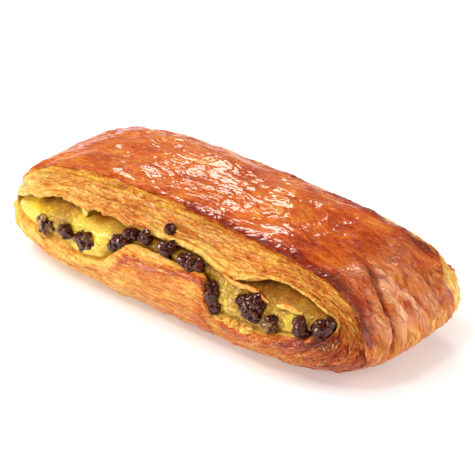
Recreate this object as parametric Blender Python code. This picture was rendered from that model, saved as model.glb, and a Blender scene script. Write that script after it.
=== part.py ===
"""A pain suisse: a bar of laminated dough folded round custard and chocolate chips.

The dough is a closed band. It runs over the top, round the folded right end, along the base and
up round the left end, and the custard fills the channel inside it from one cut side to the other.
The chips lie in clusters on the custard, where it shows between the two lips of the dough.

Frame: +X along the bar to the heavier fold, -Y the front cut side, +Z up, and the origin under
the middle of the base. All sizes are in metres.
"""

import math
import random

import bmesh
import bpy
import numpy as np
from mathutils import Euler, Vector

MM = 0.001

# The bar's outer form is a rounded block whose powers say how square it is.
LENGTH = 151.6 * MM
WIDTH = 67.6 * MM
HEIGHT = 35.7 * MM
WAIST = 14.7 * MM  # height of the widest level
BASE_SINK = 4.6 * MM  # how far the round underside would reach below its flat foot
PLAN_POWER = 4.2
TOP_POWER = 2.4
BASE_POWER_LEFT, BASE_POWER_RIGHT = 2.6, 2.0

# The channel that the custard fills, seen from the cut side.
CHANNEL_LENGTH = 133 * MM
CHANNEL_SHIFT = -4 * MM  # it lies nearer to the left end
CHANNEL_RISE = 6.0 * MM  # half of its height in the middle
CHANNEL_LEVEL = 21.0 * MM  # height of its middle line
CHANNEL_TILT = 0.016  # the middle line climbs towards the right end
LEFT_DROOP = 5.0 * MM  # and falls by this at the left tip
DROOP_START = -42 * MM
CHANNEL_LONG_POWER = 3.0
CHANNEL_HIGH_POWER = 2.2

# The mouths, where the channel opens in the cut sides.
MOUTH_FLARE = 0.8 * MM  # how much the mouth is wider than the channel
LIP_DEPTH = 7.0 * MM  # the lips turn in over this depth
LIP_ROUND = 1.1 * MM

# The browned skin: how far its edge lies from the bar's middle plane on top of each cut side, at
# the heavier fold and under the bar, and how far it stands over the layers that show there.
SKIN_EDGE_FRONT = 16.5 * MM
SKIN_EDGE_BACK = 20 * MM
SKIN_EDGE_FOLD = 23 * MM
SKIN_EDGE_UNDER = 23.5 * MM
SKIN_EDGE_SWAY = 1.6 * MM
SKIN_STEP = 1.0 * MM
LAYER_RELIEF = 0.6 * MM
SKIN_RELIEF = 0.4 * MM

# How finely the band is cut: stations round the band, and rows across each of its zones.
STATIONS = 96
CHANNEL_ROWS, LIP_ROWS, FACE_ROWS, SKIN_ROWS = 2, 4, 8, 6

GAP = 0.3 * MM  # clearance between pieces that touch
CUT_GAP = 0.4 * MM  # how far the chips are cut back from what they lie on
CUSTARD_RECESS = 2.2 * MM
CUSTARD_SHOULDER = 5.0 * MM  # how far its rim lies behind its middle
CUSTARD_SPILL = 0.88  # how much of that it makes up where it rests on the lower lip

CHIP_RADIUS = 2.35 * MM
CHIP_SIDES = 7
CHIP_PROFILE = ((0.0, -0.8), (1.0, -0.3), (0.86, 0.4), (0.0, 0.95))  # in radii
CHIP_DEPTH = 2.0 * MM  # how far the outer chips' middles lie behind the cut side
CHIP_DOME = 1.0 * MM
BACK_CHIP_SINK = 1.5 * MM  # the back chips lie deeper

# A fold of the lower lip that stands up before the filling: where it starts to rise, where it
# stands full, where it starts to fall, where it ends, and its rise.
FRONT_FOLD = (-27 * MM, -12.5 * MM, 16.5 * MM, 22.5 * MM, 9.9 * MM)
BACK_FOLD = (6 * MM, 15 * MM, 30 * MM, 42 * MM, 5.0 * MM)
FOLD_SINK = 5.6 * MM  # the filling lies deeper behind the fold
FOLD_SINK_FROM, FOLD_SINK_TO = 26.5 * MM, 16.5 * MM

# The front's upper lip hangs lower over the filling, given like the fold.
FRONT_HANG = (10 * MM, 22 * MM, 31 * MM, 38.5 * MM, 1.9 * MM)

# Soft swells of the lips: middle, half length and rise, for the upper lip and the lower one.
UPPER_SWELLS = ((42 * MM, 12 * MM, 1.5 * MM),)
LOWER_SWELLS = ((-42 * MM, 16 * MM, -1.8 * MM), (33 * MM, 14 * MM, -2.2 * MM))

# Hollows over the filling, behind the upper lip: middle, half length and depth.
CAVES = ((-50 * MM, 12 * MM, 4.5 * MM), (42 * MM, 15 * MM, 3.5 * MM))

# Front clusters: place along the bar, height, half length, half width, slant and chips.
FRONT_CLUSTERS = [
    (-50.0 * MM, 16.4 * MM, 2.4 * MM, 1.5 * MM, -25, 5),
    (-40.4 * MM, 18.4 * MM, 1.6 * MM, 1.0 * MM, 45, 3),
    (-32.4 * MM, 18.2 * MM, 3.0 * MM, 1.7 * MM, 0, 6),
    (-17.2 * MM, 23.4 * MM, 5.0 * MM, 1.0 * MM, 40, 6),
    (-9.2 * MM, 26.4 * MM, 0.6 * MM, 0.5 * MM, 0, 3),
    (-2.6 * MM, 30.2 * MM, 0, 0, 0, 1),
    (-0.4 * MM, 25.8 * MM, 2.4 * MM, 0.8 * MM, 22, 4),
    (10.6 * MM, 24.9 * MM, 4.4 * MM, 0.6 * MM, -4, 5),
    (20.8 * MM, 19.6 * MM, 4.0 * MM, 0.7 * MM, 100, 5),
    (35.4 * MM, 20.6 * MM, 4.0 * MM, 3.2 * MM, 0, 12),
    (42.6 * MM, 18.0 * MM, 1.8 * MM, 0.9 * MM, 35, 4),
    (53.0 * MM, 20.2 * MM, 2.4 * MM, 0.6 * MM, 110, 5),
    (59.6 * MM, 21.2 * MM, 2.3 * MM, 2.1 * MM, 80, 7),
]
BACK_CLUSTER_COUNT = 8
BACK_CLUSTER_SPAN = 100 * MM

FRONT, BACK = 0, 1  # the two cut sides
LIP_FOLDS = (FRONT_FOLD, BACK_FOLD)


def signed_power(value, power):
    """Raises the size of a value to a power and keeps its sign."""
    return np.sign(value) * np.abs(value) ** power


def smooth_step(low, high, value):
    """Goes from 0 at low to 1 at high with flat ends."""
    t = np.clip((value - low) / (high - low), 0, 1)
    return t * t * (3 - 2 * t)


def form_power(x, above):
    """How square the bar is at x, above or below its waist."""
    base = BASE_POWER_LEFT + (BASE_POWER_RIGHT - BASE_POWER_LEFT) * (x / LENGTH + 0.5)
    return np.where(above, TOP_POWER, base)


def half_width(x, z):
    """Half the bar's width at a place in the side view."""
    above = z > WAIST
    rise = np.where(above, (z - WAIST) / (HEIGHT - WAIST), (WAIST - z) / (WAIST + BASE_SINK))
    power = form_power(x, above)
    left = np.clip(1 - np.clip(rise, 0, 1) ** power, 0, 1) ** (PLAN_POWER / power)
    left = left - np.abs(x / (LENGTH / 2)) ** PLAN_POWER
    return WIDTH / 2 * np.clip(left, 0, 1) ** (1 / PLAN_POWER)


def outer_outline(turn):
    """The crown's line in the side view, at angles counted from the right end."""
    above = np.sin(turn) > 0
    x = LENGTH / 2 * np.cos(turn)
    for _ in range(8):
        power = form_power(x, above)
        x = LENGTH / 2 * signed_power(np.cos(turn), 2 / power)
    reach = np.where(above, HEIGHT - WAIST, WAIST + BASE_SINK)
    z = WAIST + reach * signed_power(np.sin(turn), 2 / power)
    return np.stack([x, z], -1)


def channel_outline(turn, grow=0.0):
    """The channel's line in the side view, widened by grow."""
    x = CHANNEL_SHIFT + (CHANNEL_LENGTH / 2 + grow) * signed_power(np.cos(turn), 2 / CHANNEL_LONG_POWER)
    middle = CHANNEL_LEVEL + CHANNEL_TILT * x - LEFT_DROOP * smooth_step(DROOP_START, -LENGTH / 2, x)
    z = middle + (CHANNEL_RISE + grow) * signed_power(np.sin(turn), 2 / CHANNEL_HIGH_POWER)
    return np.stack([x, z], -1)


def stations():
    """Angles round the band, evenly spaced between channel and crown and alike above and below."""
    fine = np.linspace(0, math.pi, 721)
    middle = (channel_outline(fine) + outer_outline(fine)) / 2
    run = np.concatenate([[0], np.cumsum(np.linalg.norm(np.diff(middle, axis=0), axis=1))])
    half = STATIONS // 2
    upper = np.interp((np.arange(half) + 0.5) / half * run[-1], run, fine)
    return np.concatenate([upper, math.tau - upper[::-1]])


def lip_fold(x, fold):
    """How much of a lip's fold stands at x, from 0 to 1."""
    return smooth_step(fold[0], fold[1], x) * smooth_step(fold[3], fold[2], x)


def swell(x, swells):
    """How far the soft swells of a lip lift it at x."""
    return sum(rise * np.exp(-(((x - middle) / half) ** 2)) for middle, half, rise in swells)


def cave_depth(x, z):
    """How much deeper the filling lies in the hollows behind the upper lip."""
    depth = 0
    for middle, half, deep in CAVES:
        depth = depth + deep * np.clip(1 - ((x - middle) / half) ** 2, 0, 1)
    return depth * smooth_step(CHANNEL_LEVEL, CHANNEL_LEVEL + CHANNEL_RISE * 0.7, z)


def fold_sink(z):
    """How much deeper the filling lies behind the lower lip's fold, at a height."""
    return FOLD_SINK * smooth_step(FOLD_SINK_FROM, FOLD_SINK_TO, z)


def mouth_outline(turn, side):
    """The line of the mouth in a cut side, with the folds and swells of its lips."""
    line = channel_outline(turn, MOUTH_FLARE)
    x, sine = line[:, 0], np.sin(turn)
    above, below = smooth_step(0.05, 0.3, sine), smooth_step(0.05, 0.3, -sine)
    fold = LIP_FOLDS[side]
    lift = fold[4] * lip_fold(x, fold) * (sine < -0.05)
    if side == FRONT:
        lift -= FRONT_HANG[4] * lip_fold(x, FRONT_HANG) * above
    line[:, 1] += lift + swell(x, UPPER_SWELLS) * above + swell(x, LOWER_SWELLS) * below
    return line


def around(turn):
    """The way round the band, which starts and ends in the middle of the base."""
    return np.mod(turn - 1.5 * math.pi, math.tau) * (LENGTH / 2)


def skin_edge(turn, mouth, crown, side):
    """Where the skin starts, as a share of the way from the mouth to the crown."""
    at_fold = np.clip(np.cos(turn), 0, 1) ** 5
    under = smooth_step(-0.1, -0.5, np.sin(turn))
    top = SKIN_EDGE_FRONT if side == FRONT else SKIN_EDGE_BACK
    depth = top + (SKIN_EDGE_FOLD - top) * at_fold
    depth += SKIN_EDGE_SWAY * waves(turn * LENGTH / 2, 0 * turn, 17 + side, 60 * MM) * (1 - at_fold)
    depth += (SKIN_EDGE_UNDER - depth) * under
    low, high = np.full_like(turn, 0.05), np.full_like(turn, 0.98)
    for _ in range(30):
        share = (low + high) / 2
        place = mouth + share[:, None] * (crown - mouth)
        wide = half_width(place[:, 0], place[:, 1]) > depth
        low, high = np.where(wide, share, low), np.where(wide, high, share)
    return low


def half_profile(turn, side):
    """One half of the band's section at each station, from the channel's middle to the crown.

    Returns an array of stations by rows by (x, depth, z), where depth is the distance from the
    bar's middle plane, and the number of the row where the skin starts.
    """
    channel = channel_outline(turn)
    mouth = mouth_outline(turn, side)
    crown = outer_outline(turn)
    crest = half_width(mouth[:, 0], mouth[:, 1]) - LIP_ROUND
    inner = crest - LIP_DEPTH
    rows = []
    for share in np.linspace(0, 1, CHANNEL_ROWS, endpoint=False):
        rows.append(np.stack([channel[:, 0], inner * share, channel[:, 1]], -1))
    lift = mouth - channel
    steep = np.linalg.norm(lift, axis=1)
    corners = [
        (channel, inner),
        (channel, inner + 0.55 * (crest - inner)),
        (mouth - 0.25 * lift, crest - 0.8 * MM - 0.18 * steep),
        (mouth, crest),
    ]
    for s in np.linspace(0, 1, LIP_ROWS, endpoint=False):
        weights = [(1 - s) ** 3, 3 * s * (1 - s) ** 2, 3 * s * s * (1 - s), s**3]
        place = sum(w * c[0] for w, c in zip(weights, corners, strict=True))
        depth = sum(w * c[1] for w, c in zip(weights, corners, strict=True))
        rows.append(np.stack([place[:, 0], depth, place[:, 1]], -1))
    edge = skin_edge(turn, mouth, crown, side)[:, None]
    for share in np.linspace(0, 1, FACE_ROWS, endpoint=False):
        rows.append(face_row(mouth, crown, edge * share))
    for share in np.linspace(0, 1, SKIN_ROWS):
        rest = 1 - (1 - edge) * math.cos(share * math.pi / 2) ** 1.3
        rows.append(face_row(mouth, crown, rest))
    return np.stack(rows, 1), CHANNEL_ROWS + LIP_ROWS + FACE_ROWS


def face_row(mouth, crown, share):
    """One row of the face, at a share of the way from the mouth to the crown."""
    place = mouth + share * (crown - mouth)
    depth = half_width(place[:, 0], place[:, 1])
    near = np.exp(-np.linalg.norm(place - mouth, axis=1) / (1.2 * MM))
    return np.stack([place[:, 0], depth - LIP_ROUND * near, place[:, 1]], -1)


def waves(along, across, seed, scale):
    """A smooth random relief from -1 to 1, made of seeded waves."""
    draw = random.Random(seed)
    total = np.zeros_like(along)
    count = 7
    for _ in range(count):
        a = draw.uniform(0.4, 1.3) / scale
        b = draw.uniform(0.5, 1.6) / scale
        phase = draw.uniform(0, math.tau)
        total += np.sin(math.tau * (a * along + draw.choice((-1, 1)) * b * across) + phase)
    return total / count * 1.6


def relief(turn, rows, skin_row, side):
    """How far each point of a half profile stands out: skin step, layers and soft unevenness."""
    run = around(turn)[:, None] * np.ones(rows)[None, :]
    row = np.arange(rows)[None, :] * np.ones(len(turn))[:, None]
    face_start = CHANNEL_ROWS + LIP_ROWS
    on_face = (row > face_start) & (row < skin_row)
    layers = np.where((row + side) % 2 > 0.5, 1.0, -0.6)
    drift = 0.6 + 0.4 * waves(run, row * 2 * MM, 11 + side, 46 * MM)
    out = LAYER_RELIEF * layers * drift * on_face
    under = np.sin(turn)[:, None] < -0.15
    out -= SKIN_STEP * on_face * ~under
    on_skin = (row >= skin_row) & ~under
    out += SKIN_RELIEF * waves(row * 5 * MM, run, 23, 26 * MM) * on_skin
    return out


def band_points(grow=0.0):
    """The dough's closed grid of points, stations by rows, pushed out by grow."""
    turn = stations()
    halves = []
    for side in (FRONT, BACK):
        half, skin_row = half_profile(turn, side)
        halves.append((half, relief(turn, half.shape[1], skin_row, side)))
    front, back = halves[0][0].copy(), halves[1][0].copy()
    front[:, :, 1] *= -1
    # Front rows run from the channel to the crown, and the back rows return to the channel.
    points = np.concatenate([front, back[:, -2:0:-1]], 1)
    out = np.concatenate([halves[0][1], halves[1][1][:, -2:0:-1]], 1)
    normal = grid_normals(points)
    points = points + normal * (out[:, :, None] + grow)
    points[:, :, 2] = np.maximum(points[:, :, 2], -grow)
    return points


def grid_normals(points):
    """Outward normals of a grid that closes both ways."""
    along = np.roll(points, -1, 0) - np.roll(points, 1, 0)
    across = np.roll(points, -1, 1) - np.roll(points, 1, 1)
    normal = np.cross(across, along)
    size = np.linalg.norm(normal, axis=2, keepdims=True)
    return normal / np.maximum(size, 1e-12)


def custard_points(grow=0.0):
    """The custard's rings of points, from the inner ring of one cap to that of the other."""
    turn = stations()
    wall = channel_outline(turn, grow - GAP - 0.05 * MM)
    spine = channel_outline(turn)
    spine[:, 1] = (spine[:, 1] + spine[::-1, 1]) / 2
    spine[:, 0] *= 0.93
    rings = []
    for side, sign in ((FRONT, -1), (BACK, 1)):
        caps = []
        for reach, shoulder in ((0.3, 0.0), (0.72, 0.22), (1.0, 1.0)):
            place = spine + reach * (wall - spine)
            depth = half_width(place[:, 0], place[:, 1]) - CUSTARD_RECESS + grow
            spill = smooth_step(0, 0.4, -np.sin(turn)) * (1 - lip_fold(place[:, 0], LIP_FOLDS[side]))
            depth -= CUSTARD_SHOULDER * shoulder * (1 - CUSTARD_SPILL * spill)
            depth -= fold_sink(place[:, 1]) * lip_fold(place[:, 0], LIP_FOLDS[side])
            depth -= cave_depth(place[:, 0], place[:, 1])
            depth += 0.5 * MM * waves(place[:, 0], place[:, 1], 31 + sign, 14 * MM) * (1 - shoulder)
            caps.append(np.stack([place[:, 0], sign * depth, place[:, 1]], -1))
        rings += caps if sign < 0 else caps[::-1]
    return rings


def new_object(name, verts, faces, material):
    """A named object from points and faces, shaded smooth but for its sharp edges."""
    mesh = bpy.data.meshes.new(name)
    mesh.from_pydata([tuple(v) for v in verts], [], faces)
    bm = bmesh.new()
    bm.from_mesh(mesh)
    bmesh.ops.recalc_face_normals(bm, faces=bm.faces)
    bm.to_mesh(mesh)
    bm.free()
    mesh.shade_smooth()
    mesh.set_sharp_from_angle(angle=math.radians(50))
    if material:
        mesh.materials.append(material)
    made = bpy.data.objects.new(name, mesh)
    bpy.context.scene.collection.objects.link(made)
    return made


def make_material(name, colour, roughness):
    """A plain Principled material."""
    made = bpy.data.materials.new(name)
    made.use_nodes = True
    shader = made.node_tree.nodes["Principled BSDF"]
    shader.inputs["Base Color"].default_value = (*colour, 1)
    shader.inputs["Roughness"].default_value = roughness
    shader.inputs["Metallic"].default_value = 0
    return made


def make_dough(name, material, grow=0.0):
    """The band of dough, or a grown copy of it."""
    points = band_points(grow)
    stations, rows = points.shape[:2]
    faces = []
    for i in range(stations):
        for j in range(rows):
            a, b = i * rows + j, i * rows + (j + 1) % rows
            c = ((i + 1) % stations) * rows
            faces.append((a, b, c + (j + 1) % rows, c + j))
    return new_object(name, points.reshape(-1, 3), faces, material)


def make_custard(name, material, grow=0.0):
    """The custard that runs through the channel, with a cap in each mouth."""
    rings = custard_points(grow)
    faces = []
    for r in range(len(rings) - 1):
        for i in range(STATIONS):
            j = (i + 1) % STATIONS
            faces.append((r * STATIONS + i, r * STATIONS + j, (r + 1) * STATIONS + j, (r + 1) * STATIONS + i))
    # Each cap's inner ring is closed by strips between its upper and lower points.
    for first in (0, (len(rings) - 1) * STATIONS):
        for i in range(STATIONS // 2 - 1):
            low = STATIONS - 1 - i
            faces.append((first + i, first + i + 1, first + low - 1, first + low))
    return new_object(name, np.concatenate(rings), faces, material)


def make_chip(place, tilt, size):
    """One softened chocolate drop: a low dome with a blunt tip."""
    verts, faces = [], []
    for radius, height in CHIP_PROFILE:
        for k in range(CHIP_SIDES if radius else 1):
            angle = math.tau * k / CHIP_SIDES
            spot = Vector((radius * math.cos(angle), radius * math.sin(angle), height))
            verts.append(place + tilt.to_matrix() @ (spot * size))
    last = len(verts) - 1
    for k in range(CHIP_SIDES):
        n = (k + 1) % CHIP_SIDES
        faces.append((0, 1 + n, 1 + k))
        for ring in range(len(CHIP_PROFILE) - 3):
            a = 1 + ring * CHIP_SIDES
            faces.append((a + k, a + n, a + CHIP_SIDES + n, a + CHIP_SIDES + k))
        faces.append((last - CHIP_SIDES + k, last - CHIP_SIDES + n, last))
    mesh = bpy.data.meshes.new("chip")
    mesh.from_pydata(verts, [], faces)
    return bpy.data.objects.new("chip", mesh)


def apply_boolean(body, operation, other=None, group=None):
    """Applies one Boolean to a body, with an object or a collection."""
    cut = body.modifiers.new("cut", "BOOLEAN")
    cut.operation = operation
    cut.solver = "MANIFOLD" if group is None else "EXACT"
    if group is None:
        cut.object = other
    else:
        cut.operand_type = "COLLECTION"
        cut.collection = group
    graph = bpy.context.evaluated_depsgraph_get()
    mesh = bpy.data.meshes.new_from_object(body.evaluated_get(graph))
    body.modifiers.clear()
    body.data = mesh


def keep_largest(body):
    """Drops loose scraps that a cut left."""
    bm = bmesh.new()
    bm.from_mesh(body.data)
    left, best = set(bm.verts), []
    while left:
        island, edge = set(), [left.pop()]
        while edge:
            v = edge.pop()
            island.add(v)
            for e in v.link_edges:
                other = e.other_vert(v)
                if other in left:
                    left.remove(other)
                    edge.append(other)
        if len(island) > len(best):
            best = island
    bmesh.ops.delete(bm, geom=[v for v in bm.verts if v not in best], context="VERTS")
    bmesh.ops.triangulate(bm, faces=bm.faces)
    bm.to_mesh(body.data)
    bm.free()


def cluster_places(half_length, half_height, slant, count):
    """Where a cluster's chips lie about its middle: one there, and the rest in sunflower order."""
    golden = math.pi * (3 - math.sqrt(5))
    lean = math.radians(slant)
    for k in range(count):
        r = math.sqrt(k / max(count - 1, 1))
        a = half_length * r * math.cos(k * golden)
        b = half_height * r * math.sin(k * golden)
        yield a * math.cos(lean) - b * math.sin(lean), a * math.sin(lean) + b * math.cos(lean), r


def make_cluster(name, side, x, z, half_length, half_height, slant, count, material, cutters):
    """A cluster of chips fused into one piece and cut back from the custard and dough it lies on."""
    draw = random.Random(name)
    group = bpy.data.collections.new("chips")
    bpy.context.scene.collection.children.link(group)
    first = None
    for dx, dz, r in cluster_places(half_length, half_height, slant, count):
        cx, cz = x + dx, z + dz
        depth = float(half_width(np.array(cx), np.array(cz))) - CHIP_DEPTH + CHIP_DOME * (1 - r * r)
        depth -= BACK_CHIP_SINK * (side > 0)
        size = CHIP_RADIUS * draw.uniform(0.88, 1.12)
        tilt = Euler([draw.uniform(0, math.tau) for _ in range(3)])
        chip = make_chip(Vector((cx, side * depth, cz)), tilt, size)
        if first is None:
            first = chip
            bpy.context.scene.collection.objects.link(first)
        else:
            group.objects.link(chip)
    if group.objects:
        apply_boolean(first, "UNION", group=group)
    for chip in list(group.objects):
        bpy.data.objects.remove(chip)
    bpy.data.collections.remove(group)
    for cutter in cutters:
        apply_boolean(first, "DIFFERENCE", other=cutter)
    keep_largest(first)
    first.name = first.data.name = name
    first.data.materials.clear()
    first.data.materials.append(material)
    return first


def back_clusters():
    """Clusters for the back mouth, spaced evenly with a seeded scatter."""
    draw = random.Random(5)
    step = BACK_CLUSTER_SPAN / (BACK_CLUSTER_COUNT - 1)
    for k in range(BACK_CLUSTER_COUNT):
        x = CHANNEL_SHIFT - BACK_CLUSTER_SPAN / 2 + k * step + draw.uniform(-2, 2) * MM
        count = draw.choice((3, 4, 5, 6))
        spread = (1.3 + 0.42 * count) * MM
        z = CHANNEL_LEVEL + CHANNEL_TILT * x + draw.uniform(-1.2, 1.6) * MM
        z += 2.4 * MM * float(lip_fold(np.array(x), BACK_FOLD))
        yield x, z, spread, spread * 0.7, draw.uniform(-40, 40), count


def main():
    for old in list(bpy.data.objects):
        bpy.data.objects.remove(old)
    crust = make_material("baked_dough", (0.62, 0.27, 0.06), 0.42)
    cream = make_material("baked_custard", (0.78, 0.60, 0.09), 0.45)
    dark = make_material("dark_chocolate", (0.045, 0.014, 0.008), 0.28)
    dough = make_dough("dough", crust)
    custard = make_custard("custard", cream)
    grown = [make_dough("dough_cutter", None, CUT_GAP), make_custard("custard_cutter", None, CUT_GAP)]
    cutters = [dough, custard, *grown]
    for number, cluster in enumerate(FRONT_CLUSTERS, 1):
        make_cluster(f"chips_front_{number:02d}", -1, *cluster, dark, cutters)
    for number, cluster in enumerate(back_clusters(), 1):
        make_cluster(f"chips_back_{number:02d}", 1, *cluster, dark, cutters)
    for cutter in grown:
        bpy.data.objects.remove(cutter)


main()
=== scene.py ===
"""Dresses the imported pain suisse: glazed crust, flaky layers, custard, chocolate and a studio.

The bar is a band of laminated dough folded round its filling. Every surface of the band is one
fine grid that runs round the fold (stations) and across it (rows: channel, lip, cut face, skin).
The grid is displaced into layers, wrinkles and blisters, and carries masks that the finishes read.
"""

import logging
import math
import random
from dataclasses import dataclass
from enum import Enum

import bmesh
import bpy
import numpy as np
from mathutils import Euler, Matrix, Vector


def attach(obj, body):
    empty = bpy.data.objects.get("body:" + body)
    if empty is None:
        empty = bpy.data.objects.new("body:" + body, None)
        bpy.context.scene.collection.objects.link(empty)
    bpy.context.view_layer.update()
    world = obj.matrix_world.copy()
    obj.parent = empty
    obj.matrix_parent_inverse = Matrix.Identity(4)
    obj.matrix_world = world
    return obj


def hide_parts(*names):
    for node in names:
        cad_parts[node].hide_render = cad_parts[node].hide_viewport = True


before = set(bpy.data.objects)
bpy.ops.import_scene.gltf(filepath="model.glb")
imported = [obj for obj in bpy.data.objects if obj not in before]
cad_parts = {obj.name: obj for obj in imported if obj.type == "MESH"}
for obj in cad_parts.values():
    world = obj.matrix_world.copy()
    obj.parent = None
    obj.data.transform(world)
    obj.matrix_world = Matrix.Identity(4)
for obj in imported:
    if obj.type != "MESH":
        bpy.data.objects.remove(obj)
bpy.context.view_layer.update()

log = logging.getLogger("pain_suisse")
Array = np.ndarray
Colour = tuple[float, float, float]
Socket = bpy.types.NodeSocket
MM = 0.001
NOISE_CELLS = 256
NOISE_GAIN = 1.7
OCTAVE_FADE = 0.55
OCTAVE_SHIFT = 17.3
TINY = 1e-12


def smooth_step(low: float, high: float, value: Array) -> Array:
    """Goes from 0 at low to 1 at high with flat ends."""
    t = np.clip((value - low) / (high - low), 0, 1)
    return t * t * (3 - 2 * t)


def bell(value: Array, middle: float, width: float) -> Array:
    """A smooth hump of height 1 about the middle."""
    return np.exp(-(((value - middle) / width) ** 2))


def signed_power(value: Array, power: Array | float) -> Array:
    """Raises the size of a value to a power and keeps its sign."""
    return np.sign(value) * np.abs(value) ** power


def run_along(points: Array, axis: int = 0) -> Array:
    """How far each point of a line lies from the line's start.

    Args:
        points: the line's points, or those of many lines.
        axis: the direction that runs along the line.

    Returns:
        The distance for each point.
    """
    steps = np.linalg.norm(np.diff(points, axis=axis), axis=-1)
    start = np.zeros_like(np.take(steps, [0], axis))
    return np.concatenate([start, np.cumsum(steps, axis=axis)], axis)


def from_srgb(red: int, green: int, blue: int) -> Colour:
    """Turns screen values into linear light.

    Args:
        red: the red value, 0 to 255.
        green: the green value.
        blue: the blue value.

    Returns:
        The colour that shaders take.
    """

    def channel(value: int) -> float:
        """Turns one screen value into linear light."""
        share = value / 255
        return share / 12.92 if share <= 0.04045 else ((share + 0.055) / 1.055) ** 2.4

    return channel(red), channel(green), channel(blue)


@dataclass(frozen=True)
class Slope:
    """A share that goes smoothly from 0 at one place to 1 at another."""

    start: float
    full: float

    def at(self, place: Array) -> Array:
        """The share at each place."""
        return smooth_step(self.start, self.full, place)


@dataclass(frozen=True)
class Hump:
    """A share that is 1 in the middle and fades to both sides."""

    middle: float
    half: float

    def at(self, place: Array) -> Array:
        """The share at each place."""
        return bell(place, self.middle, self.half)


class SpaceNoise:
    """Smooth seeded noise over space."""

    def __init__(self, seed: int) -> None:
        """Draws the order of the cells and the slope in each.

        Args:
            seed: picks the pattern.
        """
        draw = np.random.default_rng(seed)
        self.order = draw.permutation(NOISE_CELLS)
        way = draw.normal(size=(NOISE_CELLS, 3))
        self.slopes = way / np.linalg.norm(way, axis=1, keepdims=True)

    def at(self, points: Array) -> Array:
        """Gives the noise, about -1 to 1.

        Args:
            points: places, in cells.

        Returns:
            One value for each place.
        """
        last = NOISE_CELLS - 1
        cell = np.floor(points).astype(int)
        inside = points - cell
        fade = inside**3 * (inside * (inside * 6 - 15) + 10)
        total = np.zeros(points.shape[:-1])
        for corner in np.ndindex(2, 2, 2):
            spot = (cell + corner) & last
            pick = self.order[(self.order[spot[..., 0]] + spot[..., 1]) & last]
            pick = self.order[(pick + spot[..., 2]) & last]
            reach = (self.slopes[pick] * (inside - corner)).sum(-1)
            total += reach * np.prod(np.where(corner, fade, 1 - fade), axis=-1)
        return total * NOISE_GAIN


def relief(seed: int, octaves: int, *axes: tuple[Array, float]) -> Array:
    """Layered noise over up to three coordinates.

    Args:
        seed: picks the pattern.
        octaves: how many ever finer layers are added.
        axes: each coordinate with the size of its coarsest features.

    Returns:
        Values of about -1 to 1.
    """
    shape = np.broadcast(*[a for a, _ in axes]).shape
    points = np.full((*shape, 3), 0.37 + seed * 0.11)
    for k, (value, size) in enumerate(axes):
        points[..., k] += value / size
    noise = SpaceNoise(seed)
    total, weight, gain = np.zeros(shape), 0.0, 1.0
    for octave in range(octaves):
        total += gain * noise.at(points * 2**octave + OCTAVE_SHIFT * octave)
        weight += gain
        gain *= OCTAVE_FADE
    return total / weight * 1.3


def waves(along: Array, across: Array, seed: int, scale: float, count: int = 7) -> Array:
    """The soft unevenness that the solid has too.

    Args:
        along: the place along the surface.
        across: the place across it.
        seed: picks the waves.
        scale: the size of the waves.
        count: how many waves are added.

    Returns:
        Values of about -1 to 1.
    """
    draw = random.Random(seed)
    total = np.zeros(np.broadcast(along, across).shape)
    for _ in range(count):
        a = draw.uniform(0.4, 1.3) / scale
        b = draw.uniform(0.5, 1.6) / scale
        phase = draw.uniform(0, math.tau)
        total += np.sin(math.tau * (a * along + draw.choice((-1, 1)) * b * across) + phase)
    return total / count * 1.6


class Side(Enum):
    """The two cut sides of the bar."""

    FRONT = -1
    BACK = 1


@dataclass(frozen=True)
class BarForm:
    """The bar's outer form: a rounded block whose powers say how square it is."""

    length: float = 151.6 * MM
    width: float = 67.6 * MM
    height: float = 35.7 * MM
    waist: float = 14.7 * MM
    base_sink: float = 4.6 * MM
    plan_power: float = 4.2
    top_power: float = 2.4
    base_power_left: float = 2.6
    base_power_right: float = 2.0
    crown_rounds: int = 8

    def power(self, x: Array, above: Array) -> Array:
        """How square the bar is.

        Args:
            x: the place along the bar.
            above: whether it is over the waist.

        Returns:
            The power of the outline there.
        """
        base = self.base_power_left
        base = base + (self.base_power_right - base) * (x / self.length + 0.5)
        return np.where(above, self.top_power, base)

    def half_width(self, x: Array, z: Array) -> Array:
        """Half the bar's width at a place in the side view.

        Args:
            x: the place along the bar.
            z: the height.

        Returns:
            The half width, 0 outside the side view's outline.
        """
        above = z > self.waist
        over = (z - self.waist) / (self.height - self.waist)
        under = (self.waist - z) / (self.waist + self.base_sink)
        power = self.power(x, above)
        left = np.clip(1 - np.clip(np.where(above, over, under), 0, 1) ** power, 0, 1)
        left = left ** (self.plan_power / power) - np.abs(x / (self.length / 2)) ** self.plan_power
        return self.width / 2 * np.clip(left, 0, 1) ** (1 / self.plan_power)

    def depth_at(self, x: float, z: float) -> float:
        """Half the bar's width at one place."""
        return float(self.half_width(np.array(x), np.array(z)))

    def crown(self, turn: Array) -> Array:
        """The crown's line in the side view.

        Args:
            turn: angles counted from the right end.

        Returns:
            The place along the bar and the height at each angle.
        """
        above = np.sin(turn) > 0
        x = self.length / 2 * np.cos(turn)
        for _ in range(self.crown_rounds):
            power = self.power(x, above)
            x = self.length / 2 * signed_power(np.cos(turn), 2 / power)
        reach = np.where(above, self.height - self.waist, self.waist + self.base_sink)
        z = self.waist + reach * signed_power(np.sin(turn), 2 / power)
        return np.stack([x, z], -1)


@dataclass(frozen=True)
class LipFold:
    """A fold of the lower lip that stands up before the filling."""

    start: float
    full: float
    fall: float
    end: float
    rise: float

    def standing(self, x: Array) -> Array:
        """How much of the fold stands at x, from 0 to 1."""
        return smooth_step(self.start, self.full, x) * smooth_step(self.end, self.fall, x)


@dataclass(frozen=True)
class LipShift:
    """A stretch of a lip that lies higher or lower."""

    upper: bool
    place: Hump
    rise: float


@dataclass(frozen=True)
class Cave:
    """A hollow of the filling behind the upper lip."""

    middle: float
    half: float
    deep: float


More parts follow.
